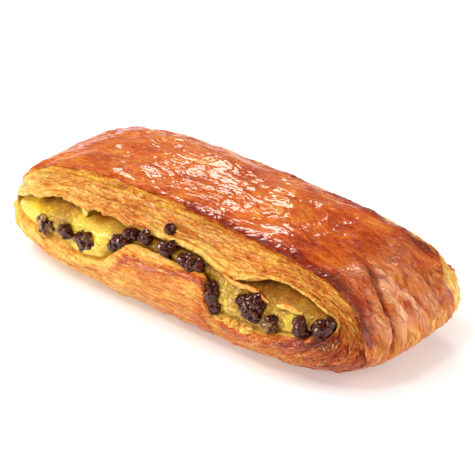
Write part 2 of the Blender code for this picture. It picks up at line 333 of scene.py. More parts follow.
@dataclass(frozen=True)
class Channel:
    """The channel that the filling lies in, seen from the cut side."""

    half_length: float = 66.5 * MM
    shift: float = -4 * MM
    rise: float = 6 * MM
    level: float = 21 * MM
    tilt: float = 0.016
    left_droop: float = 5 * MM
    droop: Slope = Slope(-42 * MM, -75.8 * MM)
    long_power: float = 3.0
    high_power: float = 2.2
    flare: float = 0.8 * MM
    lip_turn: Slope = Slope(0.05, 0.3)
    cave_roof: float = 0.7
    caves: tuple[Cave, ...] = (
        Cave(-50 * MM, 12 * MM, 4.5 * MM),
        Cave(42 * MM, 15 * MM, 3.5 * MM),
    )
    lip_shifts: tuple[LipShift, ...] = (
        LipShift(True, Hump(42 * MM, 12 * MM), 1.5 * MM),
        LipShift(False, Hump(-42 * MM, 16 * MM), -1.8 * MM),
        LipShift(False, Hump(33 * MM, 14 * MM), -2.2 * MM),
    )
    hang: LipFold = LipFold(10 * MM, 22 * MM, 31 * MM, 38.5 * MM, 1.9 * MM)

    def line(self, turn: Array, grow: float = 0.0) -> Array:
        """The channel's wall in the side view.

        Args:
            turn: angles counted from the right end.
            grow: how much wider it is drawn.

        Returns:
            The place along the bar and the height at each angle.
        """
        x = self.shift + (self.half_length + grow) * signed_power(np.cos(turn), 2 / self.long_power)
        middle = self.level + self.tilt * x
        middle = middle - self.left_droop * self.droop.at(x)
        z = middle + (self.rise + grow) * signed_power(np.sin(turn), 2 / self.high_power)
        return np.stack([x, z], -1)

    def mouth(self, turn: Array, fold: LipFold, hanging: bool) -> Array:
        """The line of the mouth in a cut side, with the folds of its lips.

        Args:
            turn: angles counted from the right end.
            fold: the standing fold of the lower lip.
            hanging: whether the upper lip hangs down in the middle.

        Returns:
            The place along the bar and the height at each angle.
        """
        line = self.line(turn, self.flare)
        x, sine = line[:, 0], np.sin(turn)
        line[:, 1] += fold.rise * fold.standing(x) * (sine < -self.lip_turn.start)
        if hanging:
            line[:, 1] -= self.hang.rise * self.hang.standing(x) * self.lip_turn.at(sine)
        for shift in self.lip_shifts:
            share = self.lip_turn.at(sine if shift.upper else -sine)
            line[:, 1] += shift.rise * share * shift.place.at(x)
        return line

    def cave_depth(self, x: Array, z: Array) -> Array:
        """How much deeper the filling lies in the hollows behind the upper lip.

        Args:
            x: the place along the bar.
            z: the height.

        Returns:
            The added depth at each place.
        """
        depth = np.zeros(np.broadcast(x, z).shape)
        for cave in self.caves:
            depth = depth + cave.deep * np.clip(1 - ((x - cave.middle) / cave.half) ** 2, 0, 1)
        return depth * smooth_step(self.level, self.level + self.rise * self.cave_roof, z)


FORM = BarForm()
CHANNEL = Channel()
FOLDS = {
    Side.FRONT: LipFold(-27 * MM, -12.5 * MM, 16.5 * MM, 22.5 * MM, 9.9 * MM),
    Side.BACK: LipFold(6 * MM, 15 * MM, 30 * MM, 42 * MM, 5.0 * MM),
}
OUTLINE_STEPS = 1441


def even_turns(count: int) -> Array:
    """Angles round the band, evenly spaced and alike above and below.

    Args:
        count: how many stations, an even number.

    Returns:
        The angles in radians.
    """
    fine = np.linspace(0, math.pi, OUTLINE_STEPS)
    run = run_along((CHANNEL.line(fine) + FORM.crown(fine)) / 2)
    half = count // 2
    upper = np.interp((np.arange(half) + 0.5) / half * run[-1], run, fine)
    return np.concatenate([upper, math.tau - upper[::-1]])


def unit(vectors: Array) -> Array:
    """Vectors of length 1 with the same directions."""
    return vectors / np.maximum(np.linalg.norm(vectors, axis=2, keepdims=True), TINY)


def grid_normals(points: Array) -> Array:
    """Outward normals of a grid that closes both ways.

    Args:
        points: the grid's points, by station and row.

    Returns:
        A unit vector for each point.
    """
    along = np.roll(points, -1, 0) - np.roll(points, 1, 0)
    across = np.roll(points, -1, 1) - np.roll(points, 1, 1)
    return unit(np.cross(across, along))


def add_piece(name: str, verts: Array, faces: Array, masks: dict[str, Array]) -> bpy.types.Object:
    """Makes one smooth mesh piece of the bar.

    Args:
        name: the piece's name.
        verts: its points.
        faces: its faces, as rows of point numbers, all with the same count.
        masks: values for each point, single or in threes, that finishes read by name.

    Returns:
        The new object, linked to the scene.
    """
    mesh = bpy.data.meshes.new(name)
    corners = faces.shape[1]
    mesh.vertices.add(len(verts))
    mesh.vertices.foreach_set("co", np.ascontiguousarray(verts, np.float32).ravel())
    mesh.loops.add(faces.size)
    mesh.loops.foreach_set("vertex_index", np.ascontiguousarray(faces, np.int32).ravel())
    mesh.polygons.add(len(faces))
    mesh.polygons.foreach_set("loop_start", np.arange(0, faces.size, corners, dtype=np.int32))
    mesh.update(calc_edges=True)
    mesh.validate()
    mesh.shade_smooth()
    for key, values in masks.items():
        kind = "FLOAT_VECTOR" if values.ndim == 2 else "FLOAT"
        layer = mesh.attributes.new(key, kind, "POINT")
        flat = np.ascontiguousarray(values, np.float32).ravel()
        layer.data.foreach_set("vector" if values.ndim == 2 else "value", flat)
    made = bpy.data.objects.new(name, mesh)
    bpy.context.scene.collection.objects.link(made)
    return made


def grid_faces(first: Array, closed_long: bool = False, closed_wide: bool = False) -> Array:
    """Quads between the neighbours of a grid of point numbers.

    Args:
        first: the grid of point numbers.
        closed_long: whether its last row joins its first.
        closed_wide: whether its last column joins its first.

    Returns:
        The quads, one a row.
    """
    a = first if closed_long else first[:-1]
    b = np.roll(first, -1, 0) if closed_long else first[1:]
    if closed_wide:
        return np.stack([a, np.roll(a, -1, 1), np.roll(b, -1, 1), b], -1).reshape(-1, 4)
    return np.stack([a[:, :-1], a[:, 1:], b[:, 1:], b[:, :-1]], -1).reshape(-1, 4)


class SubAssembly:
    """A part of the bar that builds its meshes and dresses them."""

    node = "dough"
    slot = "baked_dough"

    def pieces(self) -> list[bpy.types.Object]:
        """Makes the meshes, which stand for the node together."""
        raise NotImplementedError

    def dress(self, finish: bpy.types.Material) -> list[bpy.types.Object]:
        """Makes the pieces, gives them their finish and lets them ride on the bar.

        Args:
            finish: the material of all of them.

        Returns:
            The dressed pieces.
        """
        made = self.pieces()
        for piece in made:
            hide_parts(self.node)
            piece.data.materials.clear()
            piece.data.materials.append(finish)
            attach(piece, "root")
        return made


@dataclass(frozen=True)
class Grain:
    """A noise pattern drawn out along the layers, with its cells to the metre each way."""

    stretch: tuple[float, float, float]
    detail: float = 2
    rough: float = 0.55
    twist: float = 0.0


class Sketch:
    """Short calls for building a node material."""

    def __init__(self, name: str) -> None:
        """Starts a new material with its Principled shader.

        Args:
            name: the material's name.
        """
        self.material = bpy.data.materials.new(name)
        self.material.use_nodes = True
        self.tree = self.material.node_tree
        self.shader = self.tree.nodes["Principled BSDF"]

    def node(self, kind: str, **settings: object) -> bpy.types.Node:
        """Adds a node.

        Args:
            kind: Blender's name for the node.
            settings: its properties.

        Returns:
            The node.
        """
        made = self.tree.nodes.new(kind)
        for key, value in settings.items():
            setattr(made, key, value)
        return made

    def join(self, source: object, target: Socket) -> None:
        """Links an output to an input, or sets a plain value.

        Args:
            source: an output, a number, a colour or a vector.
            target: the input.
        """
        if isinstance(source, Socket):
            self.tree.links.new(source, target)
        elif isinstance(source, tuple) and len(source) == 3 and target.type == "RGBA":
            target.default_value = (*source, 1)
        else:
            target.default_value = source

    def set(self, name: str, value: object) -> None:
        """Sets or links one input of the shader."""
        self.join(value, self.shader.inputs[name])

    def place(self) -> Socket:
        """The place on the piece, in metres."""
        return self.node("ShaderNodeTexCoord").outputs["Object"]

    def mask(self, name: str, vector: bool = False) -> Socket:
        """Reads a mask that the mesh carries."""
        made = self.node("ShaderNodeAttribute", attribute_name=name)
        return made.outputs["Vector" if vector else "Fac"]

    def calc(self, how: str, a: object, b: object = 0.0, c: object = 0.0) -> Socket:
        """Does one sum on values.

        Args:
            how: Blender's name for the sum.
            a: the first value.
            b: the second value.
            c: the third value.

        Returns:
            The result.
        """
        made = self.node("ShaderNodeMath", operation=how)
        for source, target in zip((a, b, c), made.inputs, strict=True):
            self.join(source, target)
        return made.outputs[0]

    def times(self, a: object, b: object) -> Socket:
        """Multiplies two values."""
        return self.calc("MULTIPLY", a, b)

    def centred(self, value: object) -> Socket:
        """Moves a value of 0 to 1 so that its middle is 0."""
        return self.calc("SUBTRACT", value, 0.5)

    def rest(self, share: object) -> Socket:
        """What a share leaves of 1."""
        return self.calc("SUBTRACT", 1.0, share)

    def span(
        self, value: object, low: float, high: float, to_low: float = 0, to_high: float = 1
    ) -> Socket:
        """Maps a span of values onto another, smoothly and clamped.

        Args:
            value: what is mapped.
            low: where the span starts.
            high: where it ends.
            to_low: the result at its start.
            to_high: the result at its end.

        Returns:
            The mapped value.
        """
        made = self.node("ShaderNodeMapRange", interpolation_type="SMOOTHSTEP")
        for source, target in zip((value, low, high, to_low, to_high), made.inputs, strict=False):
            self.join(source, target)
        return made.outputs[0]

    def scaled(self, vector: object, by: tuple[float, float, float]) -> Socket:
        """Stretches a coordinate.

        Args:
            vector: the coordinate.
            by: the factor each way.

        Returns:
            The stretched coordinate.
        """
        made = self.node("ShaderNodeVectorMath", operation="MULTIPLY")
        self.join(vector, made.inputs[0])
        made.inputs[1].default_value = by
        return made.outputs[0]

    def noise(
        self, vector: object, scale: float, detail: float = 3, rough: float = 0.55, twist: float = 0
    ) -> Socket:
        """Noise over a coordinate.

        Args:
            vector: the coordinate.
            scale: the cells to the metre.
            detail: how many finer layers it has.
            rough: how strong they are.
            twist: how much it is swirled.

        Returns:
            Values from 0 to 1.
        """
        made = self.node("ShaderNodeTexNoise")
        self.join(vector, made.inputs["Vector"])
        made.inputs["Scale"].default_value = scale
        made.inputs["Detail"].default_value = detail
        made.inputs["Roughness"].default_value = rough
        made.inputs["Distortion"].default_value = twist
        return made.outputs["Fac"]

    def drawn(self, vector: object, grain: Grain) -> Socket:
        """Noise over a coordinate that is stretched first."""
        stretched = self.scaled(vector, grain.stretch)
        return self.noise(stretched, 1.0, grain.detail, grain.rough, grain.twist)

    def bent(self, vector: object, stretch: tuple, by: tuple, amount: float) -> Socket:
        """Stretches a coordinate and bends it with noise.

        Args:
            vector: the coordinate.
            stretch: the factor each way.
            by: the noise's cells to the metre each way.
            amount: how far it is bent, in stretched units.

        Returns:
            The bent coordinate.
        """
        drift = self.node("ShaderNodeTexNoise")
        self.join(self.scaled(vector, by), drift.inputs["Vector"])
        drift.inputs["Scale"].default_value = 1.0
        made = self.node("ShaderNodeVectorMath", operation="MULTIPLY_ADD")
        self.join(drift.outputs["Color"], made.inputs[0])
        made.inputs[1].default_value = (amount, amount, amount)
        self.join(self.scaled(vector, stretch), made.inputs[2])
        return made.outputs[0]

    def cells(self, vector: object, scale: float, feature: str = "F1") -> Socket:
        """Distances among scattered cells.

        Args:
            vector: the coordinate.
            scale: the cells to the metre.
            feature: which distance Blender gives.

        Returns:
            The distance, in cells.
        """
        made = self.node("ShaderNodeTexVoronoi", feature=feature)
        self.join(vector, made.inputs["Vector"])
        made.inputs["Scale"].default_value = scale
        return made.outputs["Distance"]

    def ramp(self, value: object, stops: tuple[tuple[float, Colour], ...]) -> Socket:
        """Turns a value into a colour.

        Args:
            value: what is turned.
            stops: the colour at each of some values.

        Returns:
            The colour.
        """
        made = self.node("ShaderNodeValToRGB")
        self.join(value, made.inputs[0])
        band = made.color_ramp
        while len(band.elements) < len(stops):
            band.elements.new(0.5)
        for element, (place, colour) in zip(band.elements, stops, strict=True):
            element.position = place
            element.color = (*colour, 1)
        return made.outputs["Color"]

    def blend(self, share: object, a: object, b: object) -> Socket:
        """Mixes two colours.

        Args:
            share: how much of the second there is.
            a: the first colour.
            b: the second colour.

        Returns:
            The mixed colour.
        """
        made = self.node("ShaderNodeMix", data_type="RGBA", blend_type="MIX")
        self.join(share, made.inputs[0])
        self.join(a, made.inputs[6])
        self.join(b, made.inputs[7])
        return made.outputs[2]

    def bump(
        self, height: object, depth: float, strength: float = 1.0, under: Socket | None = None
    ) -> Socket:
        """Turns a height into a bent normal.

        Args:
            height: the height, from 0 to 1.
            depth: how deep that is, in metres.
            strength: how much of it shows.
            under: a normal that it is laid over.

        Returns:
            The bent normal.
        """
        made = self.node("ShaderNodeBump")
        made.inputs["Strength"].default_value = strength
        made.inputs["Distance"].default_value = depth
        self.join(height, made.inputs["Height"])
        if under is not None:
            self.join(under, made.inputs["Normal"])
        return made.outputs["Normal"]


@dataclass(frozen=True)
class BakedDough:
    """The finish of the dough, from pale layers to dark glazed crust."""

    name: str = "baked_dough"
    bake_stops: tuple[tuple[float, Colour], ...] = (
        (0.00, from_srgb(252, 216, 116)),
        (0.18, from_srgb(244, 192, 90)),
        (0.34, from_srgb(230, 154, 58)),
        (0.50, from_srgb(212, 112, 30)),
        (0.64, from_srgb(192, 78, 16)),
        (0.80, from_srgb(150, 38, 10)),
        (1.00, from_srgb(108, 22, 10)),
    )
    # The dark of cracks, seams and fine wrinkles, partly painted shade in them.
    crack: Colour = from_srgb(150, 64, 14)
    moist_dough: Colour = from_srgb(200, 152, 56)
    yolk: Colour = from_srgb(255, 210, 50)
    # The cream of the painted glints.
    cream: Colour = from_srgb(255, 218, 118)
    # The pale pink of the painted sheen on the right end.
    painted_sheen: Colour = from_srgb(255, 190, 146)
    amber: Colour = (1.0, 0.72, 0.45)
    streak: Grain = Grain((75, 75, 900), twist=0.9)
    blotch: Grain = Grain((110, 110, 260), 3, 0.5, 0.8)
    grit: Grain = Grain((400, 400, 1200), 1, 0.5, 1.0)
    scales: Grain = Grain((190, 190, 1000), 2, 0.6, 1.4)
    wrinkle: Grain = Grain((170, 170, 520), 2, 0.6, 1.0)
    # The pattern of the painted glints.
    painted_glints: Grain = Grain((330, 330, 1300), 3, 0.6, 1.0)
    seam: Grain = Grain((45, 45, 1100), 2, 0.5, 0.3)
    seam_zone: Grain = Grain((60, 60, 190))
    web_zone: Grain = Grain((80, 80, 160))
    # Breaks the painted sheen into patches.
    haze: Grain = Grain((75, 75, 190))
    pool: Grain = Grain((70, 70, 130))
    stroke: Grain = Grain((300, 300, 1150), 1, 0.5, 0.9)
    web_cells: tuple[float, float, float] = (190, 190, 520)
    web_bend_cells: tuple[float, float, float] = (240, 240, 420)
    web_bend: float = 1.3
    web_line: float = 0.16
    web_shade: float = 0.45
    web_sink: float = 0.65
    seam_line: float = 0.05
    crack_shade: float = 0.75
    bump_depth: float = 1 * MM
    marking: tuple[tuple[str, float, float], ...] = (
        ("cloud", 0.22, 0.44),
        ("streak", 0.26, 0.10),
        ("blotch", 0.26, 0.30),
        ("grit", 0.60, 0.24),
        ("fleck", 0.34, 0.16),
        ("scales", -0.18, -0.06),
        ("wrinkle", -0.14, -0.36),
    )

    def patterns(self, s: Sketch, flow: Socket, place: Socket) -> dict[str, Socket]:
        """Lays out the patterns that the colour and the relief share.

        Args:
            s: the material.
            flow: the place along and across the layers.
            place: the place on the piece.

        Returns:
            The patterns by name, each from 0 to 1.
        """
        grainy = s.mask("grainy")
        streak = s.drawn(flow, self.streak)
        scales = s.span(s.drawn(flow, self.scales), 0.38, 0.60)
        return {
            "cloud": s.noise(place, 95, 3, 0.5),
            "streak": s.calc("ADD", s.times(s.centred(streak), grainy), 0.5),
            "blotch": s.drawn(flow, self.blotch),
            "grit": s.drawn(flow, self.grit),
            "fleck": s.noise(place, 1150, 1, 0.5),
            "scales": s.calc("ADD", s.times(s.centred(scales), grainy), 0.5),
            "wrinkle": s.drawn(flow, self.wrinkle),
        }

    def seams(self, s: Sketch, flow: Socket) -> Socket:
        """The thin dark lines between layers, and the cracks that the mesh has.

        Args:
            s: the material.
            flow: the place along and across the layers.

        Returns:
            How dark the lines are, from 0 to 1.
        """
        away = s.calc("ABSOLUTE", s.centred(s.drawn(flow, self.seam)))
        thin = s.span(away, 0.0, self.seam_line, 1.0, 0.0)
        zone = s.span(s.drawn(flow, self.seam_zone), 0.50, 0.62)
        line = s.times(s.times(thin, zone), s.span(s.mask("skin"), 0, 1, 0.7, 0.0))
        line = s.times(line, s.mask("grainy"))
        # The cracks and seams are partly the dough's own darker lines and partly painted shade in the
        # gaps between layers.
        return s.calc("MAXIMUM", line, s.times(s.mask("crack"), self.crack_shade))

    def web(self, s: Sketch, flow: Socket) -> Socket:
        """The web of fine wrinkles in the satin skin of the right end.

        Args:
            s: the material.
            flow: the place along and across the layers.

        Returns:
            How deep the wrinkles are, from 0 to 1.
        """
        bent = s.bent(flow, self.web_cells, self.web_bend_cells, self.web_bend)
        gap = s.cells(bent, 1.0, "DISTANCE_TO_EDGE")
        web = s.span(gap, 0.0, self.web_line, 1.0, 0.0)
        web = s.times(web, s.span(s.drawn(flow, self.web_zone), 0.42, 0.58, 0.15, 1.0))
        web = s.times(web, s.mask("satin"))
        return s.times(web, s.rest(s.mask("furrow")))

    def colour(
        self, s: Sketch, flow: Socket, place: Socket, patterns: dict[str, Socket], web: Socket
    ) -> Socket:
        """Colours the dough by its bake and what lies on it, and paints glints, shade and sheen.

        Args:
            s: the material.
            flow: the place along and across the layers.
            place: the place on the piece.
            patterns: the shared patterns.
            web: the wrinkles of the right end.

        Returns:
            The colour.
        """
        skin, bake = s.mask("skin"), s.mask("bake")
        for key, on_face, on_skin in self.marking:
            weight = s.span(skin, 0, 1, on_face, on_skin)
            bake = s.calc("MULTIPLY_ADD", s.centred(patterns[key]), weight, bake)
        colour = s.ramp(bake, self.bake_stops)
        # Painted glints: small cream flecks, most on the cut face and the golden foot, stand in for
        # glints on the flakes.
        glint_share = s.calc("MAXIMUM", s.span(skin, 0, 1, 0.50, 0.05), s.mask("flaky"))
        painted_glints = s.times(s.span(s.drawn(flow, self.painted_glints), 0.56, 0.66), glint_share)
        colour = s.blend(painted_glints, colour, self.cream)
        dots = s.span(s.noise(place, 900, 2, 0.5), 0.50, 0.58)
        colour = s.blend(s.times(dots, s.mask("yolk")), colour, self.yolk)
        colour = s.blend(s.mask("moist"), colour, self.moist_dough)
        # Cracks and seams painted dark: partly painted shade.
        colour = s.blend(self.seams(s, flow), colour, self.crack)
        # The web of fine wrinkles is painted darker: painted shade in them.
        colour = s.blend(s.times(web, self.web_shade), colour, self.crack)
        # Painted sheen: a pale pink wash on the satin skin of the right end stands in for the lights'
        # sheen there.
        haze = s.span(s.drawn(flow, self.haze), 0.42, 0.58, 0.05, 1.0)
        haze = s.times(haze, s.rest(web))
        return s.blend(s.times(s.mask("painted_sheen"), haze), colour, self.painted_sheen)

    def height(
        self, s: Sketch, flow: Socket, place: Socket, patterns: dict[str, Socket], web: Socket
    ) -> Socket:
        """The fine relief: strokes of glaze, wrinkles, grit, scales and pores.

        Args:
            s: the material.
            flow: the place along and across the layers.
            place: the place on the piece.
            patterns: the shared patterns.
            web: the wrinkles of the right end.

        Returns:
            The height, about 0 to 1.
        """
        skin, satin = s.mask("skin"), s.mask("satin")
        pool = s.span(s.drawn(flow, self.pool), 0.42, 0.60, 0.3, 1.1)
        stroke = s.span(s.drawn(flow, self.stroke), 0.36, 0.64)
        height = s.times(s.times(stroke, pool), s.span(skin, 0, 1, 0.10, 0.34))
        parts = (
            (patterns["wrinkle"], s.span(skin, 0, 1, 0.45, 0.95)),
            (patterns["grit"], s.span(skin, 0, 1, 0.34, 0.16)),
            (patterns["scales"], s.span(skin, 0, 1, 0.34, 0.05)),
            (s.noise(place, 1100, 1, 0.5), s.span(satin, 0, 1, 0.10, 0.26)),
            (web, -self.web_sink),
        )
        for pattern, weight in parts:
            height = s.calc("MULTIPLY_ADD", pattern, weight, height)
        return height

    def make(self) -> bpy.types.Material:
        """Builds the node material.

        Returns:
            The material, which reads the masks that the sculptor paints.
        """
        s = Sketch(self.name)
        flow, place = s.mask("flow", vector=True), s.place()
        gloss, skin, satin = (s.mask(key) for key in ("gloss", "skin", "satin"))
        patterns, web = self.patterns(s, flow, place), self.web(s, flow)
        s.set("Base Color", self.colour(s, flow, place, patterns, web))
        s.set("Roughness", s.span(skin, 0, 1, 0.36, 0.42))
        level = s.span(skin, 0, 1, 0.40, 0.12)
        s.set("Specular IOR Level", s.calc("MULTIPLY_ADD", satin, 0.55, level))
        s.set("Specular Tint", self.amber)
        s.set("Coat Weight", s.times(gloss, s.span(satin, 0, 1, 0.34, 0.45)))
        s.set("Coat Roughness", s.span(satin, 0, 1, 0.10, 0.28))
        height = self.height(s, flow, place, patterns, web)
        s.set("Normal", s.bump(height, self.bump_depth, 0.9))
        return s.material


@dataclass(frozen=True)
class BakedCustard:
    """The finish of the custard: moist, porous, yellow, with browned skin under the lips."""

    name: str = "baked_custard"
    bright: Colour = from_srgb(255, 220, 72)
    cream: Colour = from_srgb(255, 218, 116)
    dull: Colour = from_srgb(228, 172, 64)
    yolk: Colour = from_srgb(250, 204, 0)
    browned: Colour = from_srgb(206, 128, 42)
    ochre: Colour = from_srgb(218, 156, 56)
    # The dark orange of the painted shade in the hollows under the upper lip.
    hollow: Colour = from_srgb(170, 92, 20)
    sheen: Colour = (1.0, 0.85, 0.5)
    glow: tuple[float, float, float] = (4 * MM, 2 * MM, 0.8 * MM)
    curd_depth: float = 0.7 * MM
    pore_depth: float = 0.3 * MM

    def make(self) -> bpy.types.Material:
        """Builds the node material.

        Returns:
            The material, which reads the masks that the filling carries.
        """
        s = Sketch(self.name)
        place, rich = s.place(), s.mask("bright")
        cloud = s.noise(place, 260, 4, 0.6)
        share = s.calc("MULTIPLY_ADD", s.centred(cloud), 1.6, rich)
        colour = s.blend(s.span(share, 0.1, 0.9), self.dull, self.bright)
        colour = s.blend(s.mask("spill"), colour, self.cream)
        skin = s.blend(s.span(s.noise(place, 180, 3, 0.5), 0.4, 0.6), self.browned, self.ochre)
        colour = s.blend(s.mask("yolk"), colour, self.yolk)
        film = s.calc("MULTIPLY_ADD", s.centred(cloud), 0.9, s.mask("browned"))
        colour = s.blend(s.span(film, 0.25, 0.75), colour, skin)
        # Painted shade: the hollows under the upper lip are painted dark orange.
        colour = s.blend(s.mask("hollow"), colour, self.hollow)
        speck = s.span(s.cells(place, 900), 0.10, 0.20, 0.75, 0.0)
        grit = s.span(s.noise(place, 1500, 3, 0.65), 0.44, 0.30, 0.0, 0.55)
        grit = s.times(grit, s.span(rich, 0.3, 0.9, 1.0, 0.1))
        speck = s.times(s.calc("MAXIMUM", speck, grit), s.rest(s.mask("spill")))
        s.set("Base Color", s.blend(speck, colour, self.browned))
        s.set("Roughness", 0.40)
        s.set("Specular IOR Level", 0.3)
        s.set("Specular Tint", self.sheen)
        s.set("Coat Weight", 0.5)
        s.set("Coat Roughness", 0.18)
        s.set("Subsurface Weight", 0.1)
        s.set("Subsurface Radius", self.glow)
        s.set("Subsurface Scale", 0.3)
        curds = s.span(s.noise(place, 620, 4, 0.65, 0.8), 0.40, 0.62)
        curds = s.times(curds, s.span(rich, 0.3, 0.9, 1.0, 0.25))
        normal = s.bump(curds, self.curd_depth)
        s.set("Normal", s.bump(s.noise(place, 2200, 3, 0.6), self.pore_depth, 0.8, normal))
        return s.material


@dataclass(frozen=True)
class DarkChocolate:
    """The finish of the softened chocolate drops."""

    name: str = "dark_chocolate"
    deep: Colour = from_srgb(46, 4, 1)
    light: Colour = from_srgb(88, 20, 7)
    smeared: Colour = from_srgb(160, 122, 62)
    sheen: Colour = (1.0, 0.5, 0.36)
    dent_depth: float = 0.6 * MM

    def make(self) -> bpy.types.Material:
        """Builds the node material.

        Returns:
            The material, which reads the mask smear.
        """
        s = Sketch(self.name)
        place = s.place()
        cloud = s.noise(place, 500, 4, 0.6)
        colour = s.blend(s.span(cloud, 0.42, 0.7), self.deep, self.light)
        drift = s.centred(s.noise(place, 420, 3, 0.6))
        film = s.span(s.calc("MULTIPLY_ADD", drift, 2.2, s.mask("smear")), 0.35, 0.75)
        s.set("Base Color", s.blend(film, colour, self.smeared))
        s.set("Roughness", s.span(cloud, 0.3, 0.7, 0.16, 0.28))
        s.set("Coat Weight", 0.55)
        s.set("Coat Roughness", 0.03)
        s.set("Specular IOR Level", 0.4)
        s.set("Specular Tint", self.sheen)
        normal = s.bump(s.noise(place, 380, 2, 0.5), self.dent_depth, 0.9)
        s.set("Normal", normal)
        s.set("Coat Normal", normal)
        return s.material


@dataclass
class HalfBand:
    """One half of the band before it is displaced: points and where each lies on the surface."""

    points: Array
    lip: Array
    face: Array
    skin: Array
    from_mouth: Array
    from_rim: Array


@dataclass(frozen=True)
class DoughBand:
    """The folded band of dough, with its layers, lips, browned skin and foot."""

    stations: int = 840
    channel_rows: int = 5
    lip_rows: int = 16
    face_rows: int = 56
    skin_rows: int = 58
    lip_depth: float = 7 * MM
    lip_round: float = 1.1 * MM
    lip_fade: float = 1.2 * MM
    lip_lean: float = 0.8 * MM
    skin_edge_top: float = 16.5 * MM
    skin_edge_back: float = 20 * MM
    skin_edge_fold: float = 23 * MM
    skin_edge_under: float = 23.5 * MM
    skin_edge_sway: float = 1.6 * MM
    skin_edge_tear: float = 0.8 * MM
    back_shoulder: Slope = Slope(64 * MM, 54 * MM)
    back_shoulder_depth: float = 3 * MM
    back_corner: Slope = Slope(67 * MM, 73 * MM)
    back_corner_depth: float = 8 * MM
    skin_step: float = 0.9 * MM
    skin_relief: float = 0.4 * MM
    layer_count: float = 11.0
    halvings: int = 30
    fine_rows: int = 500

    @property
    def half_rows(self) -> int:
        """How many rows one half of the band has."""
        return self.channel_rows + self.lip_rows + self.face_rows + self.skin_rows

    def rim_depth(self, turn: Array, side: Side) -> Array:
        """How far the skin's edge lies from the bar's middle plane.

        Args:
            turn: the stations' angles.
            side: which cut side it is.

        Returns:
            The depth at each station.
        """
        back = side is Side.BACK
        seed, top = (18, self.skin_edge_back) if back else (17, self.skin_edge_top)
        x, z = FORM.crown(turn).T
        at_fold = np.clip(np.cos(turn), 0, 1) ** 5
        depth = top + (self.skin_edge_fold - top) * at_fold
        sway = waves(turn * FORM.length / 2, 0 * turn, seed, 60 * MM)
        depth = depth + self.skin_edge_sway * sway * (1 - at_fold)
        if back:
            depth = depth + self.back_shoulder_depth * self.back_shoulder.at(x)
            depth = depth - self.back_corner_depth * self.back_corner.at(x)
        tear = self.skin_edge_tear * relief(seed + 60, 4, (x, 7 * MM), (z, 7 * MM))
        depth = depth + tear * (1 - 0.6 * at_fold)
        return depth + (self.skin_edge_under - depth) * smooth_step(-0.1, -0.5, np.sin(turn))

    def rim_share(self, turn: Array, mouth: Array, crown: Array, side: Side) -> Array:
        """Where the skin starts.

        Args:
            turn: the stations' angles.
            mouth: the mouth's line.
            crown: the crown's line.
            side: which cut side it is.

        Returns:
            The share of the way from the mouth to the crown, at each station.
        """
        depth = self.rim_depth(turn, side)
        low, high = np.full_like(turn, 0.05), np.full_like(turn, 0.98)
        for _ in range(self.halvings):
            share = (low + high) / 2
            place = mouth + share[:, None] * (crown - mouth)
            wide = FORM.half_width(place[:, 0], place[:, 1]) > depth
            low, high = np.where(wide, share, low), np.where(wide, high, share)
        return low

    def ragged_mouth(self, turn: Array, side: Side) -> Array:
        """The mouth's line with its torn edges and arches.

        Args:
            turn: the stations' angles.
            side: which cut side it is.

        Returns:
            The place along the bar and the height at each station.
        """
        mouth = CHANNEL.mouth(turn, FOLDS[side], side is Side.FRONT)
        x, z = mouth.T
        upper = smooth_step(0.05, 0.3, np.sin(turn))
        size = (0.45 + 0.45 * smooth_step(-10 * MM, -25 * MM, x)) * MM
        rough = relief(70 + side.value, 3, (x, 6 * MM), (z, 6 * MM))
        tear = size * rough * (0.4 + 0.6 * upper)
        nibble = 0.5 * MM * smooth_step(-4 * MM, -20 * MM, x) * upper
        tear = tear + nibble * relief(75 + side.value, 2, (x, 2.6 * MM))
        mouth[:, 1] += tear * smooth_step(-70 * MM, -62 * MM, x)
        return mouth

    def face_row(self, mouth: Array, crown: Array, share: Array) -> Array:
        """One row of the face.

        Args:
            mouth: the mouth's line.
            crown: the crown's line.
            share: how far along the way from the mouth to the crown it lies.

        Returns:
            The row's points.
        """
        place = mouth + share * (crown - mouth)
        depth = FORM.half_width(place[:, 0], place[:, 1])
        near = np.exp(-np.linalg.norm(place - mouth, axis=1) / self.lip_fade)
        return np.stack([place[:, 0], depth - self.lip_round * near, place[:, 1]], -1)

    def skin_lines(self, mouth: Array, crown: Array, edge: Array) -> list[Array]:
        """Rows of even width from the rim to the crown.

        Args:
            mouth: the mouth's line.
            crown: the crown's line.
            edge: the share of the way at which the skin starts, by station.

        Returns:
            The points of each row.
        """
        fine = np.cos(np.linspace(0, 1, self.fine_rows) * math.pi / 2) ** 4
        lines = np.stack([self.face_row(mouth, crown, 1 - (1 - edge) * f) for f in fine], 1)
        run = run_along(lines, 1)
        wanted = np.linspace(0, 1, self.skin_rows)
        even = np.empty((len(crown), self.skin_rows, 3))
        for k, line in enumerate(lines):
            for axis in range(3):
                even[k, :, axis] = np.interp(wanted * run[k, -1], run[k], line[:, axis])
        return list(even.transpose(1, 0, 2))

    def lip_lines(self, channel: Array, mouth: Array, crest: Array) -> list[Array]:
        """Rows that curve from the channel's wall out over the lip.

        Args:
            channel: the channel's line.
            mouth: the mouth's line.
            crest: how far out the lip's crest lies, by station.

        Returns:
            The points of each row.
        """
        inner = crest - self.lip_depth
        lift = mouth - channel
        steep = np.linalg.norm(lift, axis=1)
        corners = [
            (channel, inner),
            (channel, inner + 0.55 * (crest - inner)),
            (mouth - 0.25 * lift, crest - self.lip_lean - 0.18 * steep),
            (mouth, crest),
        ]
        rows = []
        for t in np.linspace(0, 1, self.lip_rows, endpoint=False):
            weights = [(1 - t) ** 3, 3 * t * (1 - t) ** 2, 3 * t * t * (1 - t), t**3]
            place = sum(w * c[0] for w, c in zip(weights, corners, strict=True))
            depth = sum(w * c[1] for w, c in zip(weights, corners, strict=True))
            rows.append(np.stack([place[:, 0], depth, place[:, 1]], -1))
        return rows

